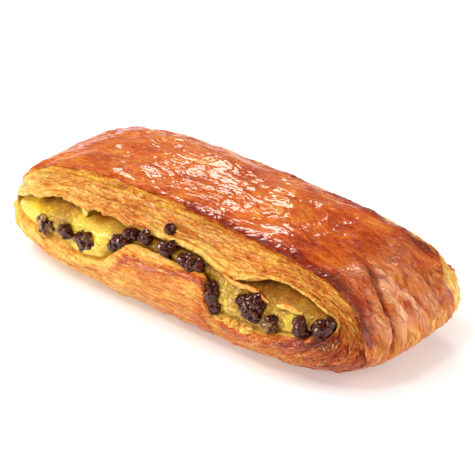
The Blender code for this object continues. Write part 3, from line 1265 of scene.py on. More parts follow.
    def half(self, turn: Array, side: Side) -> HalfBand:
        """Lays out one half of the band.

        Args:
            turn: the stations' angles.
            side: which cut side it is.

        Returns:
            Points by station and row, and where each lies.
        """
        channel, crown = CHANNEL.line(turn), FORM.crown(turn)
        mouth = self.ragged_mouth(turn, side)
        crest = FORM.half_width(mouth[:, 0], mouth[:, 1]) - self.lip_round
        inner = crest - self.lip_depth
        edge = self.rim_share(turn, mouth, crown, side)[:, None]
        deep = np.linspace(0, 1, self.channel_rows, endpoint=False)
        out = np.linspace(0, 1, self.face_rows, endpoint=False)
        rows = [np.stack([channel[:, 0], inner * share, channel[:, 1]], -1) for share in deep]
        rows += self.lip_lines(channel, mouth, crest)
        rows += [self.face_row(mouth, crown, edge * share) for share in out]
        rows += self.skin_lines(mouth, crown, edge)
        points = np.stack(rows, 1)
        run = run_along(points, 1)
        lips, start = self.channel_rows, self.channel_rows + self.lip_rows
        rim = start + self.face_rows
        lip = np.linspace(0, 1, self.lip_rows, endpoint=False)
        lip = np.concatenate([np.zeros(lips), lip, np.ones(self.half_rows - start)])
        face = np.concatenate([np.zeros(start), out, np.ones(self.skin_rows)])
        skin = np.concatenate([np.zeros(rim), np.linspace(0, 1, self.skin_rows)])
        shares = [np.ones((len(turn), 1)) * share for share in (lip, face, skin)]
        return HalfBand(points, *shares, run - run[:, [start]], run - run[:, [rim]])


@dataclass(frozen=True)
class Crease:
    """A fold in the skin of the right end, as places (way up the end, place across the bar)."""

    line: tuple[tuple[float, float], ...]
    depth: float
    half: float

    def pressed(self, run: Array, y: Array) -> Array:
        """How deep the skin is pressed in, with a soft shoulder on both sides.

        Args:
            run: the way up round the end from its middle.
            y: the place across the bar.

        Returns:
            The depth at each place.
        """
        ways, places = np.array(self.line).T * MM
        away = np.abs(y - np.interp(run, ways, places)) / self.half
        fade = smooth_step(ways[0] - 3 * MM, ways[0] + 1 * MM, run)
        fade = fade * smooth_step(ways[-1] + 5 * MM, ways[-1] - 3 * MM, run)
        return self.depth * fade * (np.exp(-(away**2)) - 0.45 * np.exp(-((away - 2.6) ** 2) / 1.6))


CREASES = (
    Crease(
        ((-1, -14.0), (3.6, -13.2), (7.7, -12.6), (12, -10.3), (16.4, -7.8), (27.5, -3.0)),
        depth=2.2 * MM,
        half=1.1 * MM,
    ),
    Crease(((4.0, -6.5), (9.0, -5.0), (13.8, -1.3), (20, 1.0)), 0.6 * MM, 0.8 * MM),
    Crease(((2.0, 3.0), (6.4, 2.0), (12.4, 0.6), (18, 4.0)), 1.0 * MM, 0.9 * MM),
    Crease(((3.0, 10.0), (8.0, 8.5), (15, 9.5), (22, 8.0)), 0.8 * MM, 0.8 * MM),
    Crease(((8.0, -18.5), (13, -16.0), (20, -12.0)), 0.5 * MM, 0.8 * MM),
)


@dataclass(frozen=True)
class Pattern:
    """Seeded noise drawn out along the layers: its finer layers and the size of its features."""

    seed: int
    octaves: int
    long: float
    wide: float
    edge: float = 0.07


@dataclass
class DoughSpots:
    """Where the marked places of the dough lie, each as a share, and the patterns over all."""

    left: Array
    right: Array
    upper: Array
    tip: Array
    ridge: Array
    rolled: Array
    hem: Array
    tuck: Array
    yolk: Array
    dab: Array
    wet: Array
    cloud: Array
    patch: Array


@dataclass(frozen=True)
class DoughZones:
    """Where the dough's kinds of surface start and end, along the bar, upwards and round it."""

    under: Slope = Slope(-0.3, -0.6)
    lower: Slope = Slope(0.0, -0.12)
    upper: Slope = Slope(0.0, 0.15)
    above: Slope = Slope(-0.2, -0.05)
    top: Slope = Slope(-0.35, 0.0)
    tuck: Hump = Hump(18 * MM, 22 * MM)
    tuck_left: Slope = Slope(-22 * MM, -8 * MM)
    tuck_right: Slope = Slope(42 * MM, 32 * MM)
    strips: Slope = Slope(34 * MM, 8 * MM)
    even_right: Slope = Slope(30 * MM, 58 * MM)
    wrinkled: Slope = Slope(38 * MM, 66 * MM)
    creased: Slope = Slope(50 * MM, 58 * MM)
    swollen: Slope = Slope(-30 * MM, 5 * MM)
    foot: Slope = Slope(18 * MM, 12 * MM)
    brim: Slope = Slope(-24 * MM, -32 * MM)
    roll: Slope = Slope(-2 * MM, -16 * MM)
    left_tip: Slope = Slope(-70 * MM, -60 * MM)
    pale_left: Slope = Slope(-40 * MM, -74 * MM)
    dark_right: Slope = Slope(40 * MM, 66 * MM)
    back_right: Slope = Slope(60 * MM, 70 * MM)
    fold: Slope = Slope(52 * MM, 64 * MM)
    satin: Slope = Slope(44 * MM, 62 * MM)
    # Where the painted sheen of the right end lies, across the bar and in height.
    painted_sheen: tuple[Hump, Hump] = (Hump(-6 * MM, 15 * MM), Hump(24.5 * MM, 7.5 * MM))
    dab: tuple[Hump, Hump] = (Hump(34.6 * MM, 1.6 * MM), Hump(32.4 * MM, 1.2 * MM))
    wet: Hump = Hump(-31 * MM, 5 * MM)


ZONES = DoughZones()


class DoughSculptor(SubAssembly):
    """Displaces the band into layers, wrinkles and blisters, and paints its masks."""

    def __init__(self, band: DoughBand) -> None:
        """Lays the band out and joins its halves.

        Args:
            band: the sizes of the band.
        """
        self.band = band
        self.turn = even_turns(band.stations)
        front, back = (band.half(self.turn, side) for side in Side)
        points = front.points.copy()
        points[:, :, 1] *= -1
        self.points = np.concatenate([points, back.points[:, -2:0:-1]], 1)
        self.lip = self.both(front.lip, back.lip)
        self.face = self.both(front.face, back.face)
        self.skin = self.both(front.skin, back.skin)
        self.from_mouth = self.both(front.from_mouth, back.from_mouth)
        self.from_rim = self.both(front.from_rim, back.from_rim)
        rows = self.points.shape[1]
        self.is_back = np.arange(rows)[None, :] >= band.half_rows
        crown = FORM.crown(self.turn)
        run = run_along(np.concatenate([crown, crown[:1]]))
        angle = run[:-1, None] / run[-1] * math.tau * np.ones((1, rows))
        self.loop = np.stack([np.cos(angle), np.sin(angle)], -1) * run[-1] / math.tau
        up = np.where(run[:-1] > run[-1] / 2, run[:-1] - run[-1], run[:-1])
        self.way_up = up[:, None] * np.ones((1, rows))
        self.round = np.mod(self.turn - 1.5 * math.pi, math.tau)[:, None] * FORM.length / 2
        across = run_along(self.points, 1)
        self.across = across - across[:, [band.half_rows - 1]]
        self.x, self.z = self.points[..., 0], self.points[..., 2]
        self.sine = np.sin(self.turn)[:, None] * np.ones_like(self.x)
        self.on_face = (self.lip >= 1) & (self.skin <= 0)
        self.on_skin = self.skin > 0
        self.under = ZONES.under.at(self.sine)
        self.lower = ZONES.lower.at(self.sine)
        front_stand = FOLDS[Side.FRONT].standing(self.x)
        self.stand = np.where(self.is_back, FOLDS[Side.BACK].standing(self.x), front_stand)
        self.reach = np.clip(self.from_mouth, 0, 1)
        self.rim = np.clip(self.from_rim, 0, 1)

    @staticmethod
    def both(front: Array, back: Array) -> Array:
        """Joins a front value with the mirrored back one."""
        return np.concatenate([front, back[:, -2:0:-1]], 1)

    def grain(self, pattern: Pattern, bend: Array | float = 0.0) -> Array:
        """Noise that is drawn out along the bar's layers.

        Args:
            pattern: its seed and its sizes.
            bend: shifts the pattern across the band.

        Returns:
            Values of about -1 to 1.
        """
        loop = ((self.loop[..., k], pattern.long) for k in range(2))
        across = (self.across + bend, pattern.wide)
        return relief(pattern.seed, pattern.octaves, *loop, across)

    def plates(self, pattern: Pattern, bend: Array | float = 0.0) -> Array:
        """Flat flakes with steep edges, from 0 to 1."""
        return smooth_step(-pattern.edge, pattern.edge, self.grain(pattern, bend))

    def tuck(self) -> Array:
        """The pale inner sheet under the upper lip.

        Returns:
            0 on the outer layers, 1 at the mouth.
        """
        wide = 3.0 * MM * ZONES.tuck.at(self.x) + 0.7 * MM
        wide = wide + 0.5 * MM * relief(41, 3, (self.x, 5 * MM))
        upper = ZONES.upper.at(self.sine) * ~self.is_back
        share = smooth_step(0.35 * MM, -0.35 * MM, self.reach - wide)
        span = ZONES.tuck_left.at(self.x) * ZONES.tuck_right.at(self.x)
        return share * upper * self.on_face * span

    def shelf(self, number: Array, seed: int, size: float) -> Array:
        """Noise that each layer has anew.

        Args:
            number: the layers' numbers.
            seed: picks the pattern.
            size: the size of its features along the band.

        Returns:
            Values of about -1 to 1.
        """
        loop = (self.loop[..., 0], size), (self.loop[..., 1], size)
        return relief(seed, 2, *loop, (number * 3.71, 1.0))

    def strips(self) -> tuple[Array, Array]:
        """The broad strips of the upper face, left of the standing sheets.

        Returns:
            How far each point stands out, and how deep in a slit between strips it lies.
        """
        level = self.face * 3.4 + 0.30 * self.grain(Pattern(61, 2, 55 * MM, 30 * MM))
        level = level + 0.03 * self.grain(Pattern(62, 2, 9 * MM, 9 * MM))
        share = level - np.floor(level)
        shown = ZONES.strips.at(self.x) * smooth_step(0.0, 0.1, self.sine) * self.on_face
        stand = shown * (0.75 * np.sin(math.pi * share) ** 0.6 - 0.45)
        slit = shown * np.exp(-((np.minimum(share, 1 - share) / 0.035) ** 2))
        opened = smooth_step(-0.25, 0.15, self.grain(Pattern(63, 2, 16 * MM, 16 * MM)))
        return stand, slit * (0.6 + 0.4 * opened)

    def layers(self) -> tuple[Array, Array, Array]:
        """The relief of the laminated cut face.

        Returns:
            How far each point stands out, how deep in a crack it lies, and its layer's shade.
        """
        level = self.face * self.band.layer_count
        level = level + 0.65 * self.grain(Pattern(3, 3, 30 * MM, 9 * MM))
        level = level + 0.30 * self.grain(Pattern(4, 2, 8 * MM, 4 * MM))
        layer = np.floor(level)
        part = level - layer
        swap = smooth_step(0.75, 1.0, part)
        out, fine, shade = (
            self.shelf(layer, seed, size) * (1 - swap) + self.shelf(layer + 1, seed, size) * swap
            for seed, size in ((5, 14 * MM), (6, 4 * MM), (7, 18 * MM))
        )
        edge = np.where(part > 0.5, layer + 1, layer)
        opened = smooth_step(0.1, 0.6, self.shelf(edge, 8, 7 * MM))
        crack = np.exp(-((np.minimum(part, 1 - part) / 0.13) ** 2)) * (0.12 + 0.88 * opened)
        bend = 2.0 * MM * self.grain(Pattern(42, 2, 20 * MM, 10 * MM))
        flakes = self.plates(Pattern(43, 3, 14 * MM, 2.4 * MM), bend) - 0.5
        chips = self.plates(Pattern(44, 3, 4 * MM, 1.3 * MM, 0.1), bend) - 0.5
        right = ZONES.even_right.at(self.x)
        strip, slit = self.strips()
        strength = (1 - 0.45 * self.lower * (1 - right)) * smooth_step(0, 0.05, self.face)
        strength = strength * self.on_face * (1 - 0.8 * self.tuck())
        shingle = 0.5 - part
        stand = (0.60 * out + 0.14 * fine + 0.28 * shingle - 0.45 * crack) * strength
        stand = stand + (0.28 * flakes + 0.08 * chips) * self.on_face + strip - 0.2 * slit
        return stand * MM, np.maximum(crack * strength, 0.8 * slit), shade * strength

    def wrinkles(self, bend: Array) -> tuple[Array, Array]:
        """The grain of the skin over the top and its wrinkles at the right end.

        Args:
            bend: shifts the patterns across the band.

        Returns:
            How far each point stands out, in millimetres, and how deep in a furrow it lies.
        """
        fine = self.grain(Pattern(22, 4, 5.5 * MM, 1.9 * MM), bend)
        coarse = self.grain(Pattern(23, 3, 17 * MM, 8 * MM), bend)
        scale = self.plates(Pattern(28, 3, 4.5 * MM, 1.5 * MM, 0.12), bend) - 0.5
        flake = self.plates(Pattern(29, 3, 10 * MM, 3.2 * MM, 0.05), bend) - 0.5
        ridge = self.grain(Pattern(24, 3, 20 * MM, 4.6 * MM), bend)
        crease = self.grain(Pattern(25, 2, 26 * MM, 7.5 * MM), 1.4 * bend)
        furrow = 0.45 * smooth_step(0.16, 0.0, np.abs(ridge))
        furrow = furrow + 0.8 * smooth_step(0.1, 0.0, np.abs(crease))
        zone = smooth_step(-0.25, 0.35, self.grain(Pattern(30, 2, 20 * MM, 9 * MM), bend))
        zone = 0.35 + 0.65 * zone
        top = (0.14 * fine + 0.14 * scale) * zone + 0.50 * coarse + 0.14 * flake
        end = 0.80 * ridge + 0.30 * coarse - 0.50 * furrow + 0.12 * scale * zone + 0.26 * fine
        fold = ZONES.wrinkled.at(self.x)
        return top * (1 - fold) + end * fold, furrow

    def crust(self) -> tuple[Array, Array]:
        """The relief of the browned skin.

        Returns:
            How far each point stands out, and how deep in a wrinkle it lies.
        """
        on_top, fold = ZONES.top.at(self.sine), ZONES.wrinkled.at(self.x)
        bend = 2.5 * MM * self.grain(Pattern(21, 2, 22 * MM, 16 * MM))
        grained, furrow = self.wrinkles(bend)
        row = np.clip(self.skin, 0, 1) * 25 * MM
        out = self.band.skin_relief * waves(70 * MM + row, self.round, 23, 26 * MM)
        out = out + grained * on_top * MM
        y = self.points[..., 1]
        y = y + 1.6 * MM * relief(48, 2, (self.z, 8 * MM), (y, 6 * MM))
        pressed = sum(crease.pressed(self.way_up, y) for crease in CREASES)
        pressed = pressed * ZONES.creased.at(self.x)
        out = out - pressed
        blister = np.clip(self.grain(Pattern(27, 2, 2.6 * MM, 2.2 * MM)), 0, 1) ** 1.4
        near_rim = np.exp(-((self.rim / (2.4 * MM)) ** 2)) * on_top
        near_rim = near_rim * (0.3 + 0.7 * ZONES.swollen.at(self.x)) * (1 - 0.7 * self.is_back)
        out = out + (0.9 * blister * (1 - 0.5 * fold) + 0.45) * near_rim * MM
        foot = self.plates(Pattern(45, 3, 7 * MM, 2.0 * MM), bend) * ZONES.foot.at(self.z)
        out = out + 0.25 * MM * foot * (1 - self.under)
        furrow = 0.5 * furrow * fold * on_top + np.clip(pressed / (1.2 * MM), 0, 1)
        return out * self.on_skin, np.clip(furrow, 0, 1) * self.on_skin

    def fold_bulge(self) -> Array:
        """The glazed ridge of the standing fold and the rolled lip beside it.

        Returns:
            How far each point stands out.
        """
        x, fold = self.x, FOLDS[Side.FRONT]
        rolled = smooth_step(fold.fall, fold.end + 4 * MM, x)
        rolled = rolled * bell(self.reach, 2.6 * MM, 1.9 * MM)
        belly = self.stand * bell(self.reach, 10 * MM, 4 * MM)
        brim = ZONES.brim.at(x) * bell(self.reach, 2.8 * MM, 1.8 * MM)
        wavy = 0.6 * self.grain(Pattern(49, 3, 11 * MM, 5 * MM)) * smooth_step(50 * MM, 40 * MM, x)
        low = (1.2 * self.ridge() + 0.8 * rolled + 0.5 * belly + 1.0 * brim + wavy) * self.lower
        roll = bell(self.reach, 2.1 * MM, 1.8 * MM) * ZONES.upper.at(self.sine)
        roll = roll * ZONES.roll.at(x) * ~self.is_back * ZONES.left_tip.at(x)
        roll = roll * (1.3 + 0.8 * relief(47, 2, (x, 6 * MM)))
        return (low + roll) * MM * self.on_face

    def ridge(self) -> Array:
        """The ridge that runs down the standing fold, nearer the mouth to the right.

        Returns:
            How high it is, from 0 to 1.
        """
        lies = 5.0 * MM - 2.6 * MM * smooth_step(-8 * MM, 14 * MM, self.x)
        lies = lies + 0.8 * MM * relief(46, 2, (self.x, 9 * MM))
        return bell(self.reach, lies, 1.5 * MM) * self.stand * self.lower

    def spots(self) -> DoughSpots:
        """Finds the marked places of the dough.

        Returns:
            Where each of them lies.
        """
        x, z, front = self.x, self.z, ~self.is_back
        upper = ZONES.upper.at(self.sine)
        tip = smooth_step(-60 * MM, -72 * MM, x) * smooth_step(24 * MM, 18 * MM, z)
        rolled = smooth_step(20 * MM, 27 * MM, x) * self.lower * bell(self.reach, 2.2 * MM, 2 * MM)
        hem = smooth_step(-22 * MM, -30 * MM, x) * self.lower
        above_rim = np.clip(-self.from_rim, 0, 1)
        yolk = bell(above_rim, 3.0 * MM, 2.0 * MM) * smooth_step(20 * MM, -12 * MM, x) * upper
        yolk = yolk * smooth_step(-0.35, 0.2, self.grain(Pattern(35, 2, 9 * MM, 3 * MM)))
        return DoughSpots(
            left=ZONES.pale_left.at(x),
            right=ZONES.dark_right.at(x),
            upper=upper,
            tip=tip,
            ridge=self.ridge(),
            rolled=rolled,
            hem=hem * bell(self.reach, 4.2 * MM, 1.2 * MM),
            tuck=self.tuck(),
            yolk=yolk + 0.7 * tip,
            dab=ZONES.dab[0].at(x) * ZONES.dab[1].at(z) * upper * front,
            wet=ZONES.wet.at(x) * self.lower * np.exp(-self.reach / (2.2 * MM)) * front,
            cloud=relief(31, 3, (x, 24 * MM), (self.points[..., 1], 16 * MM), (z, 16 * MM)),
            patch=self.grain(Pattern(32, 3, 12 * MM, 4 * MM)),
        )

    def face_bake(self, at: DoughSpots, shade: Array) -> Array:
        """How baked the cut face is.

        Args:
            at: the marked places.
            shade: each layer's own shade.

        Returns:
            Values from about 0 for pale dough to 1 for the darkest.
        """
        x, reach, lower, front = self.x, self.reach, self.lower, ~self.is_back
        band = self.grain(Pattern(34, 3, 22 * MM, 2.2 * MM))
        face = 0.38 + 0.10 * shade + 0.09 * at.cloud + 0.08 * at.patch + 0.10 * band
        face = face - 0.26 * at.left - 0.12 * at.tip + 0.05 * at.right
        face = face - 0.07 * lower * (1 - at.right) * (1 - at.left)
        face = face - 0.12 * at.upper * np.exp(-reach / (3.5 * MM)) * (1 - at.right)
        face = face + 0.20 * at.right * smooth_step(0.3, -0.2, self.sine) * front
        base = lower * smooth_step(-25 * MM, -5 * MM, x) * front
        face = face + base * (0.02 + 0.11 * smooth_step(3 * MM, 8 * MM, reach))
        face = face - 0.28 * ZONES.back_right.at(x) * self.is_back
        crest = self.stand * lower * np.exp(-reach / (2.0 * MM))
        # The standing fold's right end (cheek) is painted darker: painted shade on that face.
        cheek = self.stand * lower * bell(x, 19 * MM, 3.5 * MM) * front
        face = face + 0.36 * at.ridge - 0.04 * crest + 0.34 * at.rolled
        face = face + 0.34 * at.hem * (0.6 + at.patch) + 0.18 * cheek
        face = face + 0.04 * at.yolk - 0.10 * at.dab - 0.22 * at.wet
        browned = at.upper * bell(x, 43 * MM, 16 * MM) * smooth_step(1.5 * MM, 5 * MM, reach)
        face = face + 0.12 * browned
        # Just below the skin's rim the face is painted darker: partly the rim's dark baked edge, partly
        # painted shade under its overhang.
        above_rim = np.clip(-self.from_rim, 0, 1)
        face = face + 0.16 * np.exp(-above_rim / (0.8 * MM)) * (1 - 0.5 * at.left)
        return face + (0.22 + 0.10 * at.patch - face) * 0.85 * at.tuck

    def crust_bake(self, at: DoughSpots, furrow: Array) -> tuple[Array, Array]:
        """How baked the skin is.

        Args:
            at: the marked places.
            furrow: how deep in a wrinkle each point lies.

        Returns:
            Values as for the face, and how much of the paler foot each point belongs to.
        """
        x = self.x
        rim_wide = 1.8 * MM + 1.6 * MM * smooth_step(15 * MM, 45 * MM, x)
        rim = np.exp(-((self.rim / rim_wide) ** 2)) * smooth_step(-0.3, 0.1, self.sine)
        rim = rim * (1 - 0.8 * smooth_step(58 * MM, 68 * MM, x) * self.is_back)
        crust = 0.53 + 0.10 * at.cloud + 0.07 * at.patch
        crust = crust + 0.05 * smooth_step(-45 * MM, 20 * MM, x)
        at_fold = ZONES.fold.at(x) * ~self.is_back
        crust = crust + rim * (0.06 + 0.31 * smooth_step(-30 * MM, 10 * MM, x) + 0.07 * at_fold)
        crust = crust + 0.02 - 0.08 * ZONES.back_right.at(x)
        # The wrinkles and creases of the skin are painted darker: partly their own deeper orange,
        # partly painted shade.
        crust = crust + 0.03 * bell(x, 50 * MM, 12 * MM) + 0.22 * furrow
        streak = self.grain(Pattern(33, 3, 9 * MM, 1.6 * MM))
        foot = 16.5 * MM + 2.5 * MM * streak + 7.5 * MM * at.left + 1.5 * MM * at.right
        golden = smooth_step(3.2 * MM, -3.2 * MM, self.z - foot)
        paler = 0.40 + 0.08 * at.right + 0.08 * at.patch + 0.06 * streak
        return crust + (paler - crust) * golden + 0.10 * self.under, golden

    def paint(self, crack: Array, shade: Array, furrow: Array) -> dict[str, Array]:
        """Works out how baked, glossy and moist each point is.

        Args:
            crack: how deep in a crack between layers each point lies.
            shade: each layer's own shade.
            furrow: how deep in a wrinkle of the skin each point lies.

        Returns:
            The masks by name.
        """
        x, at, lower = self.x, self.spots(), self.lower
        skin = self.on_skin * 1.0
        crust, golden = self.crust_bake(at, furrow)
        bake = self.face_bake(at, shade) * (1 - skin) + crust * skin
        bake = np.where(self.lip < 1, 0.22 + 0.10 * at.patch, bake)
        puffy = at.upper * smooth_step(6 * MM, 2 * MM, self.reach)
        puffy = puffy * smooth_step(-10 * MM, -22 * MM, x)
        grainy = 1 - 0.65 * puffy - 0.5 * lower * (1 - at.right)
        grainy = grainy - 0.4 * at.upper * bell(x, 32 * MM, 16 * MM)
        # Painted sheen: a pale wash over the upper right end, kept off the rim and the creases.
        painted_sheen = 0.95 * ZONES.fold.at(x) * ZONES.painted_sheen[1].at(self.z)
        painted_sheen = painted_sheen * ZONES.painted_sheen[0].at(self.points[..., 1]) * (1 - 0.8 * np.clip(furrow, 0, 1))
        painted_sheen = painted_sheen * smooth_step(2.0 * MM, 5.5 * MM, self.rim)
        gloss = skin * (1 - 0.65 * golden) * (1 - 0.8 * self.under)
        glazed = 0.40 + 0.5 * at.ridge + 0.5 * at.rolled + 0.2 * at.hem
        gloss = gloss + (1 - skin) * glazed
        moist = smooth_step(1.0, 0.5, self.lip)
        moist = moist * (1 - 0.8 * lower * smooth_step(-18 * MM, -26 * MM, x))
        moist = np.maximum(moist, 0.35 * at.tuck * smooth_step(20 * MM, 50 * MM, x))
        shares = {
            "bake": bake,
            "gloss": gloss,
            "moist": moist,
            # The deepest wrinkles of the skin take the crack colour: painted shade in them.
            "crack": crack + 0.9 * smooth_step(0.7, 1.0, furrow) * skin,
            "skin": skin,
            "grainy": grainy,
            # The painted sheen.
            "painted_sheen": skin * painted_sheen,
            "furrow": 2.0 * furrow * skin,
            # Where the golden foot takes more of the painted glints.
            "flaky": skin * golden * 0.6 * (1 - self.under),
            "satin": skin * ZONES.satin.at(x),
            "yolk": (at.yolk + 0.9 * at.dab + 0.7 * at.wet) * (1 - skin),
        }
        masks = {key: np.clip(values, 0, 1) for key, values in shares.items()}
        masks["flow"] = np.concatenate([self.loop, self.across[..., None]], -1)
        return masks

    def sculpt(self) -> tuple[Array, dict[str, Array]]:
        """Displaces the band and paints it.

        Returns:
            The band's grid of points, and its masks by name.
        """
        normal = grid_normals(self.points)
        stand, crack, shade = self.layers()
        out, furrow = self.crust()
        above = ZONES.above.at(self.sine)
        tuck = self.tuck()
        sag = (0.7 + 1.0 * smooth_step(3 * MM, 0, self.reach)) * MM * tuck
        out = out + stand + self.fold_bulge() - sag
        out = out - self.band.skin_step * self.on_face * above * (1 - 0.8 * tuck)
        points = self.points + normal * out[..., None]
        drop = np.exp(-((self.rim / (1.1 * MM)) ** 2)) * self.on_skin * above
        points = points + self.towards_mouth() * (0.7 * MM * drop)[..., None]
        points[..., 2] = np.maximum(points[..., 2], 0)
        return points, self.paint(crack, shade, furrow)

    def towards_mouth(self) -> Array:
        """The direction across the band that leads to the nearer mouth.

        Returns:
            A unit vector for each point.
        """
        across = unit(np.roll(self.points, -1, 1) - np.roll(self.points, 1, 1))
        return np.where(self.is_back[..., None], across, -across)

    def pieces(self) -> list[bpy.types.Object]:
        """Cuts the surface into the pieces that the scene shows.

        Returns:
            The front layers, the skin and the back layers.
        """
        points, shares = self.sculpt()
        rows, half, skin = points.shape[1], self.band.half_rows, self.band.skin_rows
        first_skin = half - skin
        last_skin = half - 1 + skin - 1
        spans = {
            "layers_front": np.arange(0, first_skin + 1),
            "glazed_crust": np.arange(first_skin, last_skin + 1),
            "layers_back": np.arange(last_skin, rows + 1) % rows,
        }
        made = []
        for name, columns in spans.items():
            verts = points[:, columns].reshape(-1, 3)
            masks = {}
            for key, values in shares.items():
                part = values[:, columns]
                masks[key] = part.reshape(-1, 3) if part.ndim == 3 else part.reshape(-1)
            numbers = np.arange(len(verts)).reshape(self.band.stations, len(columns))
            made.append(add_piece(name, verts, grid_faces(numbers, closed_long=True), masks))
        return made


@dataclass(frozen=True)
class CustardFilling(SubAssembly):
    """The custard that runs through the channel, lumpy where it shows."""

    node = "custard"
    slot = "baked_custard"
    stations: int = 420
    cap_rows: int = 46
    recess: float = 2.2 * MM
    shoulder: float = 5.0 * MM
    clearance: float = 0.2 * MM
    gape_share: float = 0.6
    spine_share: float = 0.93
    fold_sink: float = 5.6 * MM
    fold_height: Slope = Slope(26.5 * MM, 16.5 * MM)
    cave_share: float = 0.7
    cave_full: float = 6 * MM
    brow: Hump = Hump(-42.5 * MM, 4.5 * MM)
    brow_depth: float = 2.6 * MM
    overflow: Hump = Hump(-31.5 * MM, 6 * MM)
    overflow_depth: float = 2.2 * MM
    smear: tuple[Slope, Slope] = (Slope(22 * MM, 27 * MM), Slope(48 * MM, 44 * MM))
    smooth_left: Slope = Slope(-44 * MM, -58 * MM)
    lump_depth: float = 0.8 * MM
    curd_depth: float = 0.55 * MM
    wrinkle_depth: float = 1.1 * MM
    hollow_depth: float = 2.0 * MM
    hollows: tuple[tuple[Hump, Hump], ...] = (
        (Hump(-55 * MM, 4.0 * MM), Hump(22.0 * MM, 1.7 * MM)),
        (Hump(-30 * MM, 4.5 * MM), Hump(25.0 * MM, 2.0 * MM)),
    )
    bright_left: Slope = Slope(-40 * MM, -60 * MM)
    bright_spots: tuple[tuple[Hump, float], ...] = (
        (Hump(27 * MM, 4 * MM), 0.34),
        (Hump(49 * MM, 2.5 * MM), 0.55),
    )
    bright_middle: Hump = Hump(-31 * MM, 8 * MM)
    back_bright: float = 0.30
    back_browned: float = 0.6
    yolk_left: Slope = Slope(-44 * MM, -54 * MM)
    yolk_row: Hump = Hump(-0.35, 0.28)

    def layout(self, side: Side) -> tuple[Array, Array]:
        """Lays the cap's columns from the upper wall to the lower one.

        Args:
            side: which cut side the cap shows in.

        Returns:
            The places by column and row, and how far each row is from the middle, -1 to 1.
        """
        turn = even_turns(self.stations)
        half = self.stations // 2
        wall = CHANNEL.line(turn, -self.clearance)
        gape = CHANNEL.mouth(turn, FOLDS[side], side is Side.FRONT) - CHANNEL.line(turn)
        wall[:, 1] += self.gape_share * np.minimum(gape[:, 1], 0) * (np.sin(turn) < 0)
        upper, lower = wall[:half], wall[::-1][:half]
        middle = (upper[:, 1] + lower[:, 1]) / 2
        spine = np.stack([upper[:, 0] * self.spine_share, middle], -1)
        reach = np.sin(np.linspace(-1, 1, self.cap_rows) * math.pi / 2)
        columns = [spine + abs(r) * ((upper if r < 0 else lower) - spine) for r in reach]
        return np.stack(columns, 1), reach[None, :]

    def lumps(self, x: Array, z: Array, seed: int) -> Array:
        """The filling's lumps and curds, and the wrinkles of its skin in the caves.

        Args:
            x: the place along the bar.
            z: the height.
            seed: picks the patterns.

        Returns:
            How far each point stands out.
        """
        lumps = self.lump_depth * relief(seed, 3, (x, 7 * MM), (z, 5 * MM))
        curd = smooth_step(-0.1, 0.15, relief(seed + 1, 3, (x, 2.4 * MM), (z, 2.0 * MM)))
        wrinkle = relief(seed + 2, 3, (x + 1.6 * z, 5 * MM), (z - 0.5 * x, 16 * MM))
        pocket = CHANNEL.cave_depth(x, z) / self.cave_full
        left = self.smooth_left.at(x)
        lumps = lumps * (1 - 0.6 * left) + self.curd_depth * curd * (1 - pocket) * (1 - left)
        return lumps + self.wrinkle_depth * wrinkle * pocket

    def cap(self, side: Side) -> tuple[Array, dict[str, Array]]:
        """One cap of the filling, as columns that run from the upper wall to the lower one.

        Args:
            side: which cut side it shows in.

        Returns:
            Points by column and row, and their masks.
        """
        place, reach = self.layout(side)
        x, z = place[..., 0], place[..., 1]
        front, seed = side is Side.FRONT, 50 + side.value * 3
        fold, cave = FOLDS[side].standing(x), CHANNEL.cave_depth(x, z)
        far = np.clip((np.abs(reach) - 0.3) / 0.7, 0, 1) ** 3
        spill = smooth_step(0, 0.4, reach) * (1 - fold)
        depth = FORM.half_width(x, z) - self.recess - self.shoulder * far * (1 - 0.88 * spill)
        depth = depth - self.fold_sink * self.fold_height.at(z) * fold - self.cave_share * cave
        depth = depth + self.brow_depth * self.brow.at(x) * smooth_step(-0.1, -0.7, reach)
        down = smooth_step(0.1, 0.8, reach)
        over = self.overflow.at(x) * down * front * (1 - 0.75 * smooth_step(0.8, 1.0, reach))
        depth = depth + self.overflow_depth * over
        depth = depth + self.lumps(x, z, seed) * (1 - 0.6 * far)
        # Two hollows under the upper lip, sunk and painted dark orange as painted shade.
        hollow = front * sum(along.at(x) * high.at(z) for along, high in self.hollows)
        depth = depth - self.hollow_depth * hollow
        bright = 0.15 + 0.75 * self.bright_left.at(x) + 0.55 * over
        bright = bright + 0.95 * self.bright_middle.at(x)
        spots = sum(share * spot.at(x) for spot, share in self.bright_spots)
        browned = 0.60 * smooth_step(0.0, -0.85, reach) + 0.45 * cave / self.cave_full
        browned = np.clip(browned - 0.3 * bright, 0, 1)
        lying = over + 0.8 * down * self.smear[0].at(x) * self.smear[1].at(x)
        lying = lying * (0.7 + 0.5 * relief(seed + 3, 2, (x, 3 * MM), (z, 2 * MM)))
        masks = {
            "bright": bright + (spots if front else self.back_bright),
            "browned": browned * (1.0 if front else self.back_browned),
            "yolk": self.yolk_row.at(reach) * self.yolk_left.at(x),
            "spill": lying,
            "hollow": hollow,
        }
        points = np.stack([x, side.value * depth, z], -1)
        return points, {key: np.clip(values, 0, 1) for key, values in masks.items()}

    @staticmethod
    def rim(grid: Array) -> Array:
        """The numbers of a grid's border points, once round."""
        return np.concatenate([grid[:, 0], grid[-1, 1:], grid[::-1, -1][1:], grid[0, ::-1][1:-1]])

